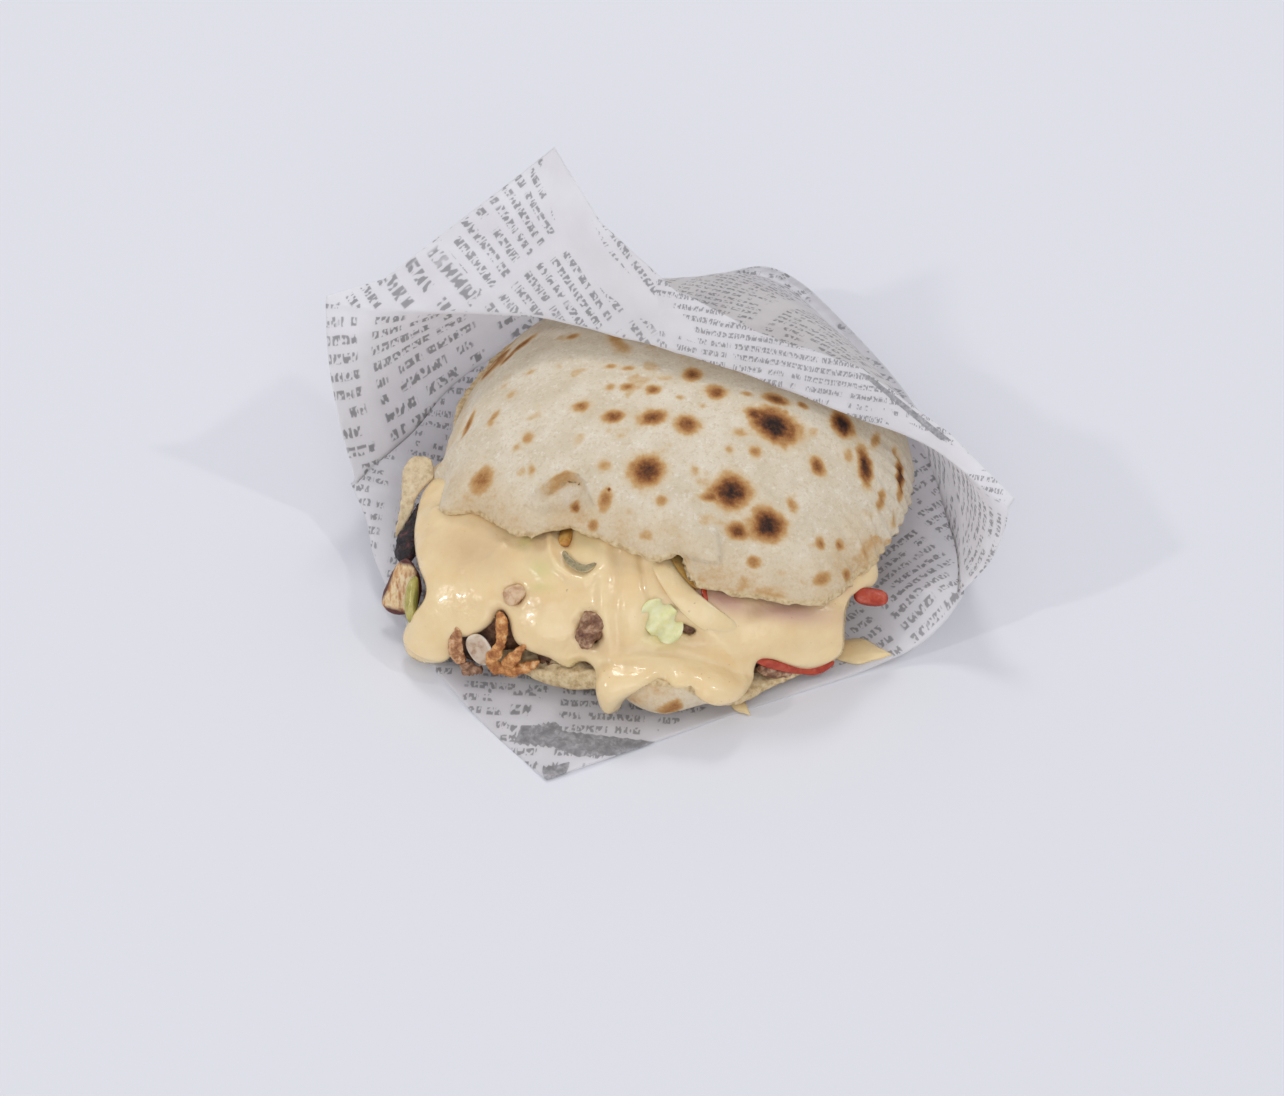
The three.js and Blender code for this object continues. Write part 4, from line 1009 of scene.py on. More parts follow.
# moist chopped meat: brown lumps with darker gaps and a few paler bits
def meatMaterial(name, dark=(70, 44, 32), middle=(140, 100, 74), pale=(196, 160, 128), size=4.0):
    material, tree, shader = newMaterial(name, **{"Roughness": 0.45, "Specular IOR Level": 0.45, "Subsurface Weight": 0.15,
                                                  "Subsurface Scale": 0.002, "Subsurface Radius": (1.0, 0.4, 0.25)})
    place = objectMm(tree)
    colour = ramp(tree, noiseOut(tree, place, size, 6, 0.65, 0.3),
                  [(0.3, dark), (0.46, tuple(0.5 * (a + b) for a, b in zip(dark, middle))), (0.56, middle), (0.74, pale)])
    tree.links.new(colour, shader.inputs["Base Color"])
    height = calc(tree, "ADD", noiseOut(tree, place, size * 0.5, 6, 0.7), cellsOut(tree, place, size * 0.6))
    addBump(tree, shader, height, 0.7, 1.0)
    return material


makeCore()
print("filling made")


# ---- what carries the sauce, as the photograph's view meets it

# grid of pixels over the filling, a depth in mm for each
viewGrid = dict(left=384, top=448, right=902, bottom=728, step=1.5)
gridPixels = np.stack(np.meshgrid(np.arange(viewGrid["left"], viewGrid["right"], viewGrid["step"]),
                                  np.arange(viewGrid["top"], viewGrid["bottom"], viewGrid["step"])), axis=-1)
gridRays = (viewAxis + viewRight * ((gridPixels[..., :1] - photo["width"] / 2) / focalPixels)
            + viewUp * ((photo["height"] / 2 - gridPixels[..., 1:]) / focalPixels))


def nearestDepth(points):  # smallest depth of the points that fall in each cell of the grid
    flat = points.reshape(-1, 3)
    cell = np.round((toPhoto(flat) - [viewGrid["left"], viewGrid["top"]]) / viewGrid["step"]).astype(int)
    inside = ((cell >= 0) & (cell < gridPixels.shape[1::-1])).all(axis=-1)
    depth = np.full(gridPixels.shape[:2], 1e4)
    np.minimum.at(depth, (cell[inside, 1], cell[inside, 0]), ((flat - eye) @ viewAxis)[inside])
    return depth


def paperDepth():  # a few steps bring each pixel to the paper's height there
    height = np.full(gridPixels.shape[:2], 0.7)
    for step in range(8):
        place = fromPhoto(gridPixels, height)
        height = paperHeight(place[..., 0], place[..., 1])
    return (place - eye) @ viewAxis


def neighbours(values):
    wide = np.pad(values, 1, mode="edge")
    return wide[1:-1, :-2], wide[1:-1, 2:], wide[:-2, 1:-1], wide[2:, 1:-1]


# soft skin over the filling, the lower bread and the paper: no place falls back more steeply than the slope allows
def carrierDepth(slope=0.72, softening=14):
    heap = heapPoint(*np.meshgrid(np.linspace(-0.06, 1.02, 420), np.linspace(190, 336, 1100), indexing="ij"))
    share, angle = np.meshgrid(np.linspace(0.7, 1, 160), np.linspace(200, 326, 900), indexing="ij")
    bread = np.concatenate(lowerSkins(share, angle))
    depth = np.minimum(np.minimum(nearestDepth(heap), nearestDepth(bread)), paperDepth())
    for step in range(120):
        depth = np.minimum(depth, np.minimum.reduce(neighbours(depth)) + slope)
    for step in range(90):  # thick sauce fills hollows
        depth = np.minimum(depth, 0.25 * sum(neighbours(depth)))
    for step in range(softening):
        depth = 0.5 * depth + 0.125 * sum(neighbours(depth))
    return depth


carrier = eye + gridRays * carrierDepth()[..., None]
carrierNormal = gridNormals(carrier)
carrierNormal = carrierNormal * -np.sign(np.sum(carrierNormal * gridRays, axis=-1, keepdims=True))


def onGrid(values, pixels):  # values of the grid at any pixels, mixed from the four cells around
    cell = (np.asarray(pixels, float) - [viewGrid["left"], viewGrid["top"]]) / viewGrid["step"]
    cell = np.clip(cell, 0, np.array(values.shape[1::-1]) - 1.001)
    low = cell.astype(int)
    part = cell - low
    x, y, u, v = low[..., 0], low[..., 1], part[..., :1], part[..., 1:]
    return ((values[y, x] * (1 - u) + values[y, x + 1] * u) * (1 - v)
            + (values[y + 1, x] * (1 - u) + values[y + 1, x + 1] * u) * v)


# ---- cheese sauce

sauceShape = dict(
    thickness=2.9, edgeWidth=3.6, sunk=0.35, under=1.3,
    # outline of the sauce in the photograph, in pixels, once round; its top runs hidden under the bread
    outline=[(436, 462), (427, 484), (419, 506), (415, 535), (416, 553), (420, 570), (428, 588), (426, 600), (413, 615),
             (405, 630), (403, 642), (406, 653), (417, 661), (432, 664), (447, 662), (454, 652), (457, 640), (463, 637),
             (472, 637), (484, 630), (493, 622), (497, 613), (503, 609), (509, 619), (511, 632), (516, 643), (527, 650),
             (538, 654), (550, 658), (562, 666), (571, 668), (578, 662), (586, 661), (594, 667), (597, 678), (598, 692),
             (601, 704), (607, 712), (614, 714), (620, 709), (623, 702), (628, 697), (639, 690), (652, 683), (661, 679),
             (667, 682), (672, 688), (680, 689), (691, 690), (697, 697), (705, 702), (717, 706), (730, 704), (742, 697),
             (750, 688), (754, 678), (754, 668), (758, 659), (768, 658), (780, 662), (795, 668), (808, 670), (820, 667),
             (832, 660), (840, 653), (843, 642), (843, 625), (844, 608), (850, 596), (862, 592), (872, 588), (878, 576),
             (874, 556), (868, 500), (700, 430), (520, 430)],
    # places left open for the pieces that stand out: pixel, half sizes in pixels, turn; the one at (686, 629) holds no
    # piece, and the dark filling seen through it is put there as painted shade in a hollow
    windows=[(516, 595, 7.5, 7.5, 0), (591, 629, 10, 13, -15), (567, 539, 3, 6.5, 0), (686, 629, 9, 4, 20),
             (660, 621, 10, 13, 10), (680, 571, 10, 21, -24)],
    # swellings: pixel, half sizes in pixels, turn, height in mm
    swellings=[(588, 553, 15, 12, 10, 1.5), (440, 552, 22, 40, 0, 1.4), (470, 588, 34, 18, 20, 0.7), (424, 643, 17, 16, 0, 1.8), (436, 612, 14, 20, 25, 0.8),
               (486, 600, 11, 9, 0, 0.8), (541, 566, 13, 24, -15, 0.5), (548, 634, 22, 14, 15, 0.9), (546, 600, 14, 12, 0, 0.7),
               (607, 600, 9, 46, 0, 1.3), (633, 598, 12, 44, 4, 1.2), (612, 694, 11, 22, 0, 2.4), (574, 658, 13, 9, 0, 0.8),
               (650, 662, 46, 12, 8, 1.2), (719, 690, 28, 15, 12, 1.4), (660, 640, 12, 8, 0, 0.6), (788, 636, 46, 16, -4, 0.9),
               (832, 632, 11, 30, 0, 1.0), (800, 658, 34, 9, -8, 1.2), (716, 640, 34, 13, 18, 0.7), (508, 560, 20, 12, 25, 0.4)],
    # folds and strands: pixels along it, half width in pixels, height in mm
    folds=[([(440, 520), (466, 516)], 9, 2.4), ([(466, 516), (501, 531), (535, 540), (567, 532)], 9, 1.0),
           ([(582, 536), (619, 550), (655, 564)], 8, 2.0),
           ([(551, 544), (552, 558), (560, 572), (572, 581), (586, 584), (600, 576)], 4.5, 1.3),
           ([(466, 573), (482, 570), (496, 562), (506, 549)], 4, 0.6),
           ([(480, 556), (470, 574), (476, 590)], 4, 0.35),
           ([(523, 536), (533, 552), (535, 570), (548, 583)], 5, 0.5),
           ([(606, 552), (605, 590), (608, 630), (614, 662)], 6, 0.5),
           ([(752, 612), (790, 606), (838, 604)], 6, -0.9),
           ([(700, 622), (722, 640), (736, 662), (742, 690)], 6, 0.5),
           ([(640, 560), (646, 590), (652, 604)], 4, -0.7),
           ([(619, 560), (618, 600), (620, 640)], 4, -0.5)],
    lump=0.5, lumpSize=11,
    # tints: pixel, half sizes in pixels, turn, strength
    # the pinks at (722, 602) and (785, 612) are painted shade under the bread's tongue, the first partly tomato under
    # the sauce too
    pinks=[(722, 602, 32, 10, 20, 1), (785, 612, 46, 9, 4, 0.9), (837, 588, 12, 10, 0, 0.5), (700, 592, 8, 14, -30, 0.9)],
    # the green at (462, 513) is painted shade under the bread's left torn edge
    greens=[(462, 513, 18, 4, 0, 0.8), (528, 547, 8, 9, 20, 0.9), (543, 573, 12, 10, 20, 0.8), (543, 590, 12, 6, 0, 0.6),
            (588, 548, 16, 12, 0, 0.5), (662, 636, 20, 12, 0, 0.7), (578, 667, 9, 6, 0, 0.7)],
    # the brown at (756, 612) is painted shade under the bread's tongue
    browns=[(478, 556, 38, 24, 12, 0.5), (586, 548, 16, 12, 0, 0.4), (538, 552, 16, 20, 0, 0.35), (440, 520, 16, 12, 0, 0.25),
            (756, 612, 10, 8, 0, 0.6), (640, 648, 50, 6, 6, 0.25), (598, 640, 14, 12, 0, 0.5), (520, 600, 22, 12, 0, 0.3),
            (470, 640, 22, 6, -20, 0.3), (500, 618, 9, 9, 0, 0.5), (540, 556, 40, 8, 10, 0.2), (690, 640, 22, 12, 0, 0.35),
            (618, 570, 14, 22, 0, 0.16), (672, 612, 20, 20, 0, 0.25)],
)


def ovalReach(pixels, oval):  # 1 on the rim of an oval given by pixel, half sizes and turn
    x, y, a, b, turn = oval[:5]
    c, q = math.cos(math.radians(turn)), math.sin(math.radians(turn))
    dx, dy = pixels[..., 0] - x, pixels[..., 1] - y
    return np.hypot((dx * c + dy * q) / a, (dy * c - dx * q) / b)


def roundedLine(line, times=3):  # corners of a closed outline cut off again and again
    line = np.array(line, float)
    for step in range(times):
        after = np.roll(line, -1, axis=0)
        line = np.stack([0.75 * line + 0.25 * after, 0.25 * line + 0.75 * after], axis=1).reshape(-1, 2)
    return line


# how deep inside the sauce's outline a place lies, in mm; below 0 outside
def sauceDepth(pixels):
    s = sauceShape
    outline = roundedLine(s["outline"], 2)
    depth = segmentDistance(pixels, outline, closed=True) * np.where(insideOutline(pixels, outline), 1, -1)
    for oval in s["windows"]:
        reach = ovalReach(pixels, oval) + 0.12 * np.sin(pixels[..., 0] * 0.45) * np.cos(pixels[..., 1] * 0.4)
        depth = np.minimum(depth, (reach - 1) * min(oval[2], oval[3]))
    return depth / photo["pixelsPerMm"]


# thickness over the carrier: rises from the outline like a quarter circle, then lumps, swellings and folds
def sauceHeight(pixels, depth, points):
    s = sauceShape
    grow = np.clip(depth / s["edgeWidth"], 0, 1)
    body = s["thickness"] * np.sqrt(np.maximum(1 - (1 - grow) ** 2, 0)) - s["sunk"]
    relief = s["lump"] * noise(points, s["lumpSize"], 101, 3)
    for oval in s["swellings"]:
        relief += oval[5] * np.exp(-1.1 * ovalReach(pixels, oval) ** 2.4)
    for line, width, height in s["folds"]:
        relief += height * np.exp(-(segmentDistance(pixels, line) / width) ** 2)
    return body + relief * smooth(depth / 2.2)


def sauceTint(pixels, ovals):
    tint = np.zeros(pixels.shape[:-1])
    for oval in ovals:
        tint = np.maximum(tint, oval[5] * np.exp(-1.1 * ovalReach(pixels, oval) ** 2))
    return tint


# outer skin over the carrier, inner skin below it, joined along the outline, where the outermost points are moved to
def makeSauce():
    s = sauceShape
    depth = sauceDepth(gridPixels)
    down, across = np.gradient(depth)
    slope = np.stack([across, down], axis=-1) / viewGrid["step"]
    steep = np.sum(slope ** 2, axis=-1, keepdims=True) + 1e-6
    outside = depth < 0
    outside[[0, -1]] = outside[:, [0, -1]] = True  # the sauce ends where the grid does, under the bread
    pixels = np.where(outside[..., None], gridPixels - np.clip(depth, -1.2, 0)[..., None] * slope / steep, gridPixels)
    base, normal = onGrid(carrier, pixels), unit(onGrid(carrierNormal, pixels))
    inside = np.maximum(depth, 0)
    outer = base + normal * sauceHeight(pixels, inside, base)[..., None]
    inner = base - normal * (s["sunk"] + s["under"] * smooth(inside / 2.5))[..., None]
    quads = gridQuads(*depth.shape)
    quads = quads[(~outside).ravel()[quads].any(axis=1)]
    count = depth.size
    innerIndex = np.where(outside.ravel(), np.arange(count), np.arange(count) + count)
    # both skins use the same points on the outline
    outer[outside] = (base - normal * s["sunk"])[outside]
    faces = np.concatenate([quads, innerIndex[quads][:, ::-1]])
    used = np.unique(faces)
    renumber = np.zeros(2 * count, int)
    renumber[used] = np.arange(len(used))
    points = np.concatenate([outer.reshape(-1, 3), inner.reshape(-1, 3)])[used]
    flat = pixels.reshape(-1, 2)
    values = {key: np.tile(sauceTint(flat, s[key + "s"]), 2)[used] for key in ("pink", "green", "brown")}
    return makePiece("sauce", points, renumber[faces].tolist(), sauceMaterial(), ("cheese_sauce",), values)


def sauceMaterial():
    if "cheese sauce" in bpy.data.materials:
        return bpy.data.materials["cheese sauce"]
    material, tree, shader = newMaterial("cheese sauce", **{"Roughness": 0.26, "Specular IOR Level": 0.5, "IOR": 1.45,
                                                          "Subsurface Weight": 0.3, "Subsurface Scale": 0.003,
                                                          "Subsurface Radius": (1.0, 0.85, 0.6),
                                                          "Coat Weight": 0.28, "Coat Roughness": 0.04})
    place = objectMm(tree)
    colour = ramp(tree, noiseOut(tree, place, 9, 3, 0.5), [(0.3, (236, 206, 155)), (0.7, (242, 218, 172))])
    speck = greyRamp(tree, noiseOut(tree, place, 1.6, 2, 0.5), 0.73, 0.77)
    colour = blendColours(tree, calc(tree, "MULTIPLY", speck, 0.4), colour, linear((150, 112, 70)))
    # some of these tints are painted shade under the bread's edges
    for key, tint, share in (("pink", (192, 146, 136), 0.85), ("green", (206, 202, 128), 0.7), ("brown", (186, 148, 108), 0.9)):
        colour = blendColours(tree, calc(tree, "MULTIPLY", attribute(tree, key), share), colour, linear(tint))
    tree.links.new(colour, shader.inputs["Base Color"])
    addBump(tree, shader, noiseOut(tree, place, 3.2, 3, 0.5), 0.32, 1.0)
    return material


makeSauce()
print("sauce made")


# ---- pieces of the filling

# middle and axes of a piece lying on the carrier at a pixel: right as seen in the photograph, up, and out
def seatAt(pixel, away=0.0, turn=0.0, lean=0.0, roll=0.0):
    out = unit(onGrid(carrierNormal, pixel))
    return turned(onGrid(carrier, pixel) + out * away, out, turn, lean, roll)


# the same for a piece beside the heap: at a pixel and a height in mm, facing a given way
def seatFree(pixel, height, out, turn=0.0, lean=0.0, roll=0.0):
    return turned(fromPhoto(pixel, height), unit(np.array(out, float)), turn, lean, roll)


def turned(middle, out, turn, lean, roll):
    right = unit(viewRight - out * (viewRight @ out))
    up = np.cross(out, right)
    for angle, first, second in ((turn, 0, 1), (lean, 1, 2), (roll, 2, 0)):
        axes = [right, up, out]
        c, q = math.cos(math.radians(angle)), math.sin(math.radians(angle))
        axes[first], axes[second] = axes[first] * c + axes[second] * q, axes[second] * c - axes[first] * q
        right, up, out = axes
    return middle, np.stack([right, up, out])


# directions over a ball, ring after ring, then its two poles
def ballDirections(rings, sides):
    v = (np.arange(1, rings + 1) / (rings + 1) * np.pi)[:, None]
    u = (np.arange(sides) / sides * 2 * np.pi)[None, :]
    ring = np.stack(np.broadcast_arrays(np.sin(v) * np.cos(u), np.sin(v) * np.sin(u), np.cos(v)), axis=-1)
    return np.concatenate([ring.reshape(-1, 3), [[0, 0, 1.0]], [[0, 0, -1.0]]])


# a rounded block: a ball whose axes are raised to a power, scaled to half sizes, roughened and bent, then placed
def makeLump(name, seat, size, material, replaced=(), square=0.7, rough=0.1, roughSize=None, seed=1,
             taper=0.0, bow=0.0, ripple=0.0, rings=26, sides=44):
    ball = ballDirections(rings, sides)
    shaped = np.sign(ball) * np.abs(ball) ** square
    local = shaped * np.array(size)
    grain = roughSize or 0.8 * min(size[0], size[1])
    local = local + unit(ball) * (rough * min(size) * noise(local + 31 * seed, grain, seed, 4))[:, None]
    along = local[:, 0] / size[0]
    local[:, 1] *= 1 - taper * along  # narrower towards one end
    local[:, 1] += bow * (1 - along ** 2)  # bowed sideways
    local[:, 2] += ripple * np.sin(along * 7 + seed) * (0.4 + np.abs(local[:, 1] / size[1]))
    values = dict(edge=np.maximum(np.abs(shaped[:, 0]) ** 3, np.abs(shaped[:, 1]) ** 2), along=along,
                  across=local[:, 1] / size[1])
    middle, axes = seat
    return makePiece(name, middle + local @ axes, closedFaces(rings, sides), material, replaced, values)


# a strip laid along pixels: at each place its half width, half height and distance from the carrier, in mm
def makeStrip(name, stations, material, replaced=(), rough=0.1, roughSize=2.0, seed=1, rings=64, sides=26,
              twist=0.0, square=0.85, seats=None, crumb=0.0):
    knots = [[i, *station] for i, station in enumerate(stations)]
    at = np.linspace(0, len(stations) - 1, rings)
    value = [through(knots, at, k + 1) for k in range(5)]
    pixels = np.stack(value[:2], axis=-1)
    width, height, away = (v[:, None, None] for v in value[2:])
    if seats is None:
        out = unit(onGrid(carrierNormal, pixels))
        line = onGrid(carrier, pixels) + out * away[:, 0]
    else:  # a free strip: the stations' last value is its height above the table
        out = np.broadcast_to(unit(np.array(seats, float)), (rings, 3))
        line = fromPhoto(pixels, value[4])
    ahead = unit(np.gradient(line, axis=0))
    side = unit(np.cross(ahead, out))
    out = np.cross(side, ahead)
    turn = np.radians(twist) * np.linspace(-1, 1, rings)[:, None]
    side, out = side * np.cos(turn) + out * np.sin(turn), out * np.cos(turn) - side * np.sin(turn)
    u = (np.arange(sides) / sides * 2 * np.pi)[None, :, None]
    ends = np.sqrt(np.maximum(1 - np.abs(np.linspace(-1, 1, rings)) ** 14, 0.02))[:, None, None]
    c, q = np.cos(u), np.sin(u)
    ring = (line[:, None] + side[:, None] * np.sign(c) * np.abs(c) ** square * width * ends
            + out[:, None] * np.sign(q) * np.abs(q) ** square * height * ends)
    away = unit(ring - line[:, None])
    ring = ring + away * (rough * np.minimum(width, height)[..., 0] * noise(ring + 17 * seed, roughSize, seed, 4))[..., None]
    points = np.concatenate([ring.reshape(-1, 3), [line[0] - ahead[0] * 0.2], [line[-1] + ahead[-1] * 0.2]])
    along = np.append(np.repeat(np.linspace(-1, 1, rings), sides), [-1, 1])
    across = np.append(np.broadcast_to(c[..., 0], (rings, sides)).ravel(), [0, 0])
    values = dict(edge=np.abs(across) ** 2, along=along, across=across, crumb=np.full(len(along), crumb))
    return makePiece(name, points, closedFaces(rings, sides), material, replaced, values)


charMaterial = meatMaterial("charred skin", (22, 16, 18), (52, 36, 38), (138, 72, 60), 3.0)
crispMaterial = meatMaterial("crisp meat", (146, 80, 36), (228, 164, 98), (248, 218, 172), 3.0)
mincedMaterial = meatMaterial("minced meat", (104, 64, 42), (182, 142, 112), (228, 204, 176), 2.6)
shavedMaterial = meatMaterial("shaved meat", (136, 80, 44), (212, 160, 114), (242, 212, 176), 2.4)


# flesh with a rim of another colour: the piece's own edge value mixes the two, broken up by noise
def rimmedMaterial(name, flesh, fleshDark, rim, rimFrom=0.6, rimTo=0.85, roughness=0.3, streaks=None, clear=0.3, size=3.0):
    material, tree, shader = newMaterial(name, **{"Roughness": roughness, "Subsurface Weight": clear, "Subsurface Scale": 0.003,
                                                  "Subsurface Radius": (1.0, 0.65, 0.4), "Specular IOR Level": 0.5})
    place = objectMm(tree)
    grain = noiseOut(tree, place, size, 5, 0.6, 0.4)
    colour = ramp(tree, grain, [(0.32, fleshDark), (0.52, flesh), (0.75, tuple(0.8 * a + 51 for a in flesh))])
    if streaks:
        wave = noiseOut(tree, addNode(tree, "ShaderNodeMapping", {"Vector": place, "Scale": (1.0, 0.3, 0.3)}).outputs[0], 1.6, 3, 0.6)
        colour = blendColours(tree, greyRamp(tree, wave, 0.5, 0.66), colour, linear(streaks))
    edge = calc(tree, "ADD", attribute(tree, "edge"), calc(tree, "MULTIPLY", calc(tree, "SUBTRACT", grain, 0.5), 0.5))
    colour = blendColours(tree, greyRamp(tree, edge, rimFrom, rimTo), colour, linear(rim))
    tree.links.new(colour, shader.inputs["Base Color"])
    addBump(tree, shader, noiseOut(tree, place, size * 0.5, 4, 0.6), 0.35, 0.6)
    return material


grilledMaterial = rimmedMaterial("grilled flesh", (232, 206, 160), (206, 160, 108), (88, 38, 30), 0.42, 0.66, 0.4, (178, 112, 56), 0.15)
chunkMaterial = rimmedMaterial("pale chunk", (218, 186, 148), (186, 144, 108), (172, 128, 94), 0.8, 1.0, 0.4, None, 0.2)
pickleMaterial = rimmedMaterial("pickle flesh", (182, 170, 92), (152, 144, 70), (124, 120, 56), 0.7, 0.95, 0.2, None, 0.4)
onionMaterial = rimmedMaterial("onion flesh", (206, 184, 160), (176, 142, 114), (226, 210, 192), 0.5, 0.85, 0.16, None, 0.5)
rindMaterial = rimmedMaterial("cucumber rind", (156, 142, 104), (110, 100, 70), (214, 196, 152), 0.6, 1.0, 0.25, None, 0.05, 1.4)
lettuceMaterial = rimmedMaterial("lettuce leaf", (238, 232, 184), (226, 222, 156), (224, 226, 156), 0.7, 1.0, 0.35, None, 0.35)
amberMaterial = rimmedMaterial("amber onion", (222, 176, 98), (190, 134, 62), (168, 112, 50), 0.6, 1.0, 0.2, None, 0.4)
tomatoMaterial = rimmedMaterial("tomato flesh", (186, 70, 42), (164, 50, 30), (146, 42, 26), 0.5, 0.85, 0.16, None, 0.15)

leftWay = (-0.55, -0.55, 0.62)
makeStrip("charred_piece", [(423, 503, 1.2, 1.0, 23), (420, 512, 2.8, 1.8, 21.5), (414, 526, 3.6, 2.0, 19), (408, 542, 4.0, 2.0, 17),
                            (405, 556, 3.8, 1.8, 15), (402, 563, 2.2, 1.2, 14)], charMaterial, ("charred_strip",),
          1.0, 2.6, 3, seats=leftWay)
makeLump("grilled_left", seatFree((401, 586), 13, leftWay, 76, 10), (9.4, 6.6, 2.2), grilledMaterial,
         ("grilled_piece",), square=0.9, rough=0.4, seed=5, taper=0.3, bow=-1.4)
makeLump("pickle_piece", seatAt((416, 600), 1.2, 84), (7.8, 2.4, 1.9), pickleMaterial,
         ("pickle_wedge",), square=0.9, rough=0.1, seed=21, bow=1.0)
makeLump("chicken_bit", seatAt((516, 595), 1.5, 20), (4.0, 3.2, 1.9), chunkMaterial, ("chicken_chunk",),
         square=0.95, rough=0.6, seed=8, taper=0.35)
makeLump("minced_bit", seatAt((591, 629), 1.6, 62), (5.8, 4.2, 2.6), mincedMaterial, ("minced_chunk",),
         square=0.9, rough=1.1, roughSize=3.6, seed=9, taper=-0.2)
makeStrip("meat_shaved", [(460, 625, 0.5, 0.6, 1.6), (460, 633, 1.9, 0.9, 2.2), (459, 643, 2.6, 1.2, 2.4), (461, 653, 2.4, 1.3, 2.2),
                          (465, 661, 1.4, 1.0, 1.4)], shavedMaterial, ("meat_shaving",), 0.6, 1.8, 11, twist=20)
makeStrip("minced_crumbs", [(463, 660, 1.0, 0.9, 0.8), (468, 666, 2.4, 1.6, 0.9), (475, 669, 2.0, 1.3, 0.7), (483, 668, 1.4, 1.0, 0.6)],
          mincedMaterial, (), 1.1, 1.6, 12, rings=40)
makeStrip("crisp_stem", [(499, 612, 0.8, 0.8, 1.4), (503, 619, 1.8, 1.2, 2.2), (504, 629, 2.0, 1.4, 2.6), (503, 639, 1.8, 1.4, 2.6),
                         (498, 648, 2.0, 1.4, 2.4), (493, 657, 2.2, 1.5, 2.0), (498, 664, 2.4, 1.5, 1.8), (512, 667, 2.4, 1.5, 1.6),
                         (527, 665, 2.0, 1.3, 1.4), (541, 660, 0.8, 0.8, 1.0)], crispMaterial, ("crisp_meat",),
          0.9, 2.2, 13, rings=100)
makeStrip("crisp_prong", [(505, 663, 2.0, 1.2, 2.2), (514, 656, 2.4, 1.2, 2.8), (522, 650, 1.6, 1.0, 3.0), (529, 643, 0.5, 0.5, 2.6)],
          crispMaterial, (), 0.7, 1.8, 15, rings=36)
makeLump("onion_piece", seatAt((481, 648), 1.4, -60, 8), (5.6, 4.2, 0.9), onionMaterial, ("onion_slice",),
         square=0.85, rough=0.15, seed=23)
makeStrip("cucumber_rind", [(566, 557, 0.8, 0.5, 3.3), (570, 565, 1.2, 0.7, 3.7), (578, 571, 1.4, 0.8, 3.8), (588, 573, 1.3, 0.8, 3.7),
                            (598, 568, 0.7, 0.5, 3.2)], rindMaterial, ("cucumber_slice",), 0.1, 3.0, 25)
makeLump("amber_bit", seatAt((567, 540), 1.7, 84), (5.2, 2.4, 1.5), amberMaterial, (), square=0.85, rough=0.1, seed=26)
makeLump("lettuce_curl", seatAt((661, 620), 1.9, -50), (7.8, 5.6, 1.0), lettuceMaterial, ("lettuce_leaf",),
         square=0.95, rough=0.9, roughSize=6, seed=27, ripple=1.6, rings=40, sides=80)
makeStrip("cheese_fold", [(650, 540, 3.2, 1.2, 1.4), (657, 558, 3.4, 1.2, 2.3), (667, 578, 3.6, 1.2, 2.9), (683, 598, 4.0, 1.2, 3.0),
                          (705, 616, 4.2, 1.1, 2.6), (726, 629, 3.8, 1.0, 1.6), (746, 640, 2.6, 0.8, 0.2)],
          sauceMaterial(), ("cheese_slice",), 0.06, 5.0, 29, rings=90, twist=-8)
makeStrip("onion_inner", [(668, 548, 3.2, 0.7, 1.6), (678, 564, 4.0, 0.8, 2.0), (689, 580, 3.6, 0.8, 2.2), (699, 591, 1.6, 0.6, 2.0)],
          amberMaterial, (), 0.1, 3.0, 30)
makeStrip("tomato_upper", [(696, 577, 0.6, 0.5, 2.8), (699, 586, 0.9, 0.6, 3.0), (702, 596, 0.9, 0.6, 3.0), (706, 604, 0.5, 0.4, 2.6)],
          tomatoMaterial, ("tomato_slice_upper",), 0.05, 4.0, 31)
makeStrip("tomato_front", [(752, 656, 0.9, 0.6, 1.2), (766, 661, 1.7, 1.0, 1.0), (784, 666, 1.7, 1.0, 0.8), (800, 670, 1.2, 0.8, 0.6),
                           (816, 669, 1.7, 1.0, 0.8), (833, 661, 1.3, 0.8, 0.8)],
          tomatoMaterial, ("tomato_slice_front",), 0.05, 4.0, 33, rings=80)
makeLump("tomato_side", seatFree((871, 597), 21, (0.3, -0.6, 0.74), -4, 0), (6.0, 3.0, 1.8), tomatoMaterial,
         ("tomato_slice_side",), square=0.8, rough=0.04, seed=35)
makeStrip("meat_front", [(758, 667, 1.2, 1.2, 0.2), (768, 671, 1.7, 1.3, 0.2), (780, 673, 1.7, 1.3, 0.1), (793, 673, 1.2, 1.0, 0.0)],
          mincedMaterial, (), 0.6, 2.4, 37)


makeStrip("bread_fragment", [(430, 459, 2.4, 1.0, 32), (421, 469, 5.6, 1.1, 30), (414, 481, 4.8, 1.1, 28), (410, 494, 3.0, 1.1, 25),
                             (407, 508, 2.4, 1.1, 22), (402, 522, 1.8, 1.0, 18), (396, 537, 0.6, 0.7, 14)], breadCrust(),
          ("flatbread",), 0.7, 2.6, 39, seats=(-0.4, -0.65, 0.62), square=0.7, crumb=0.75)


# sauce that ran on to the paper: a flat drop with a rounded edge, narrower towards one end
def makePuddle(name, middle, size, turn, taper, node, seed):
    ball = ballDirections(14, 48)
    flat = ball[:, :2] * (1 + 0.18 * noise(ball * 3 + seed, 1.0, seed, 2))[:, None]
    along = flat[:, 0] * size[0]
    across = flat[:, 1] * size[1] * (1 - taper * np.maximum(flat[:, 0], 0))
    c, q = math.cos(math.radians(turn)), math.sin(math.radians(turn))
    x = middle[0] + along * c - across * q
    y = middle[1] + along * q + across * c
    z = paperHeight(x, y) - 0.1 + size[2] * np.maximum(ball[:, 2], -0.1)
    return makePiece(name, np.stack([x, y, z], axis=-1), closedFaces(14, 48), sauceMaterial(), (node,))


makePuddle("sauce_tail", (64.5, -44.6), (10.5, 5.6, 2.2), -14, 0.85, "sauce_splash", 3)
makePuddle("sauce_small_drop", (24, -68.5), (4.8, 2.3, 1.6), -50, 0.85, "sauce_drop", 5)
print("pieces of filling made")


# ---- table, light and camera

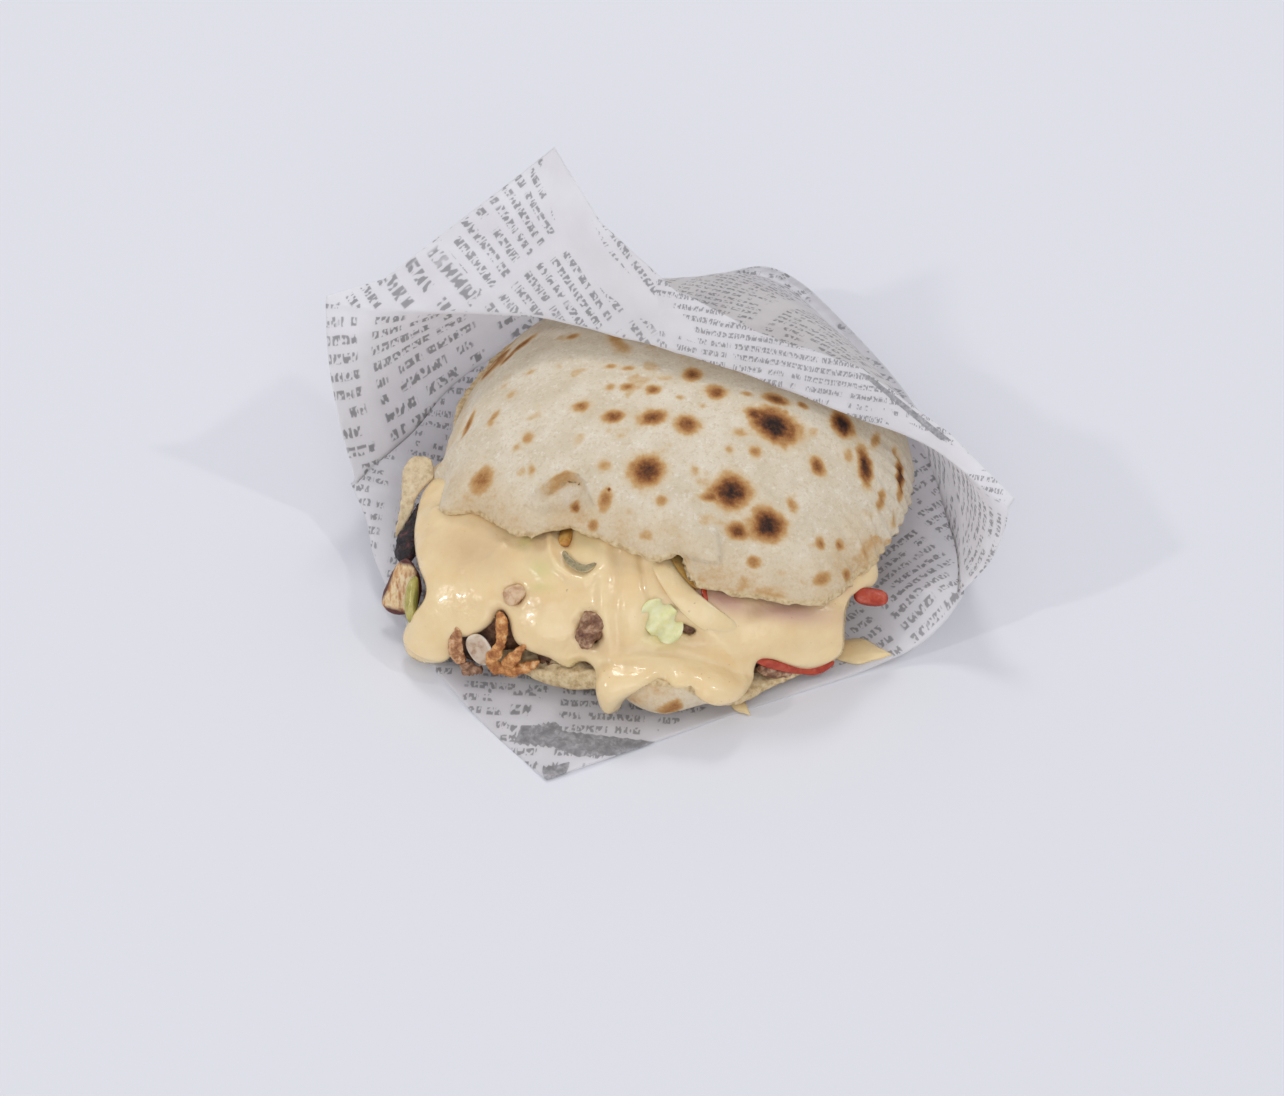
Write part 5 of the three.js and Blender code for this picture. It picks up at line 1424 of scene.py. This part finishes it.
studio = dict(
    table=(228, 228, 233), tableSize=9.0,
    world=(0.94, 0.97, 1.04), worldStrength=0.6,
    # lamps: direction they stand in, distance and size in m, light on the table as a share of full white
    lamps=[
        dict(name="left lamp", towards=(-0.74, -0.32, 0.58), distance=1.8, size=0.09, light=0.075, colour=(1.0, 0.98, 0.95)),
        dict(name="right lamp", towards=(0.62, -0.02, 0.72), distance=2.0, size=0.09, light=0.07, colour=(1.0, 0.98, 0.95)),
        dict(name="back softbox", towards=(-0.04, 0.62, 0.78), distance=1.6, size=0.3, light=0.14, colour=(1.0, 0.98, 0.97)),
        dict(name="front fill", towards=(0.05, -0.86, 0.5), distance=2.4, size=1.6, light=0.105, colour=(1.0, 0.99, 0.98)),
    ],
)


def makeTable():
    half = studio["tableSize"] / 2
    mesh = bpy.data.meshes.new("table")
    mesh.from_pydata([(-half, -half, 0), (half, -half, 0), (half, half, 0), (-half, half, 0)], [], [(0, 1, 2, 3)])
    material, tree, shader = newMaterial("white table", **{"Roughness": 0.7, "Specular IOR Level": 0.2})
    shader.inputs["Base Color"].default_value = linear(studio["table"])
    mesh.materials.append(material)
    table = bpy.data.objects.new("table", mesh)
    bpy.context.scene.collection.objects.link(table)


def makeLights():
    world = bpy.data.worlds.new("studio")
    world.use_nodes = True
    background = world.node_tree.nodes["Background"]
    background.inputs["Color"].default_value = (*studio["world"], 1)
    background.inputs["Strength"].default_value = studio["worldStrength"]
    bpy.context.scene.world = world
    for lamp in studio["lamps"]:
        light = bpy.data.lights.new(lamp["name"], "AREA")
        light.size = lamp["size"]
        away = unit(np.array(lamp["towards"], float))
        light.energy = lamp["light"] * (math.pi * lamp["distance"]) ** 2 / away[2]
        light.color = lamp["colour"]
        holder = bpy.data.objects.new(lamp["name"], light)
        holder.location = (away * lamp["distance"]).tolist()
        holder.rotation_euler = Vector((-away).tolist()).to_track_quat("-Z", "Y").to_euler()
        bpy.context.scene.collection.objects.link(holder)


def makeCamera():
    lens = bpy.data.cameras.new("camera")
    lens.lens = photo["lens"]
    lens.sensor_width = photo["sensor"]
    lens.clip_start, lens.clip_end = 0.01, 50
    camera = bpy.data.objects.new("camera", lens)
    camera.location = (eye * mm).tolist()
    camera.rotation_euler = (math.pi / 2 - tilt, 0, 0)
    bpy.context.scene.collection.objects.link(camera)
    bpy.context.scene.camera = camera


bpy.context.scene.view_settings.view_transform = "Standard"
makeTable()
makeLights()
makeCamera()
print("studio ready")
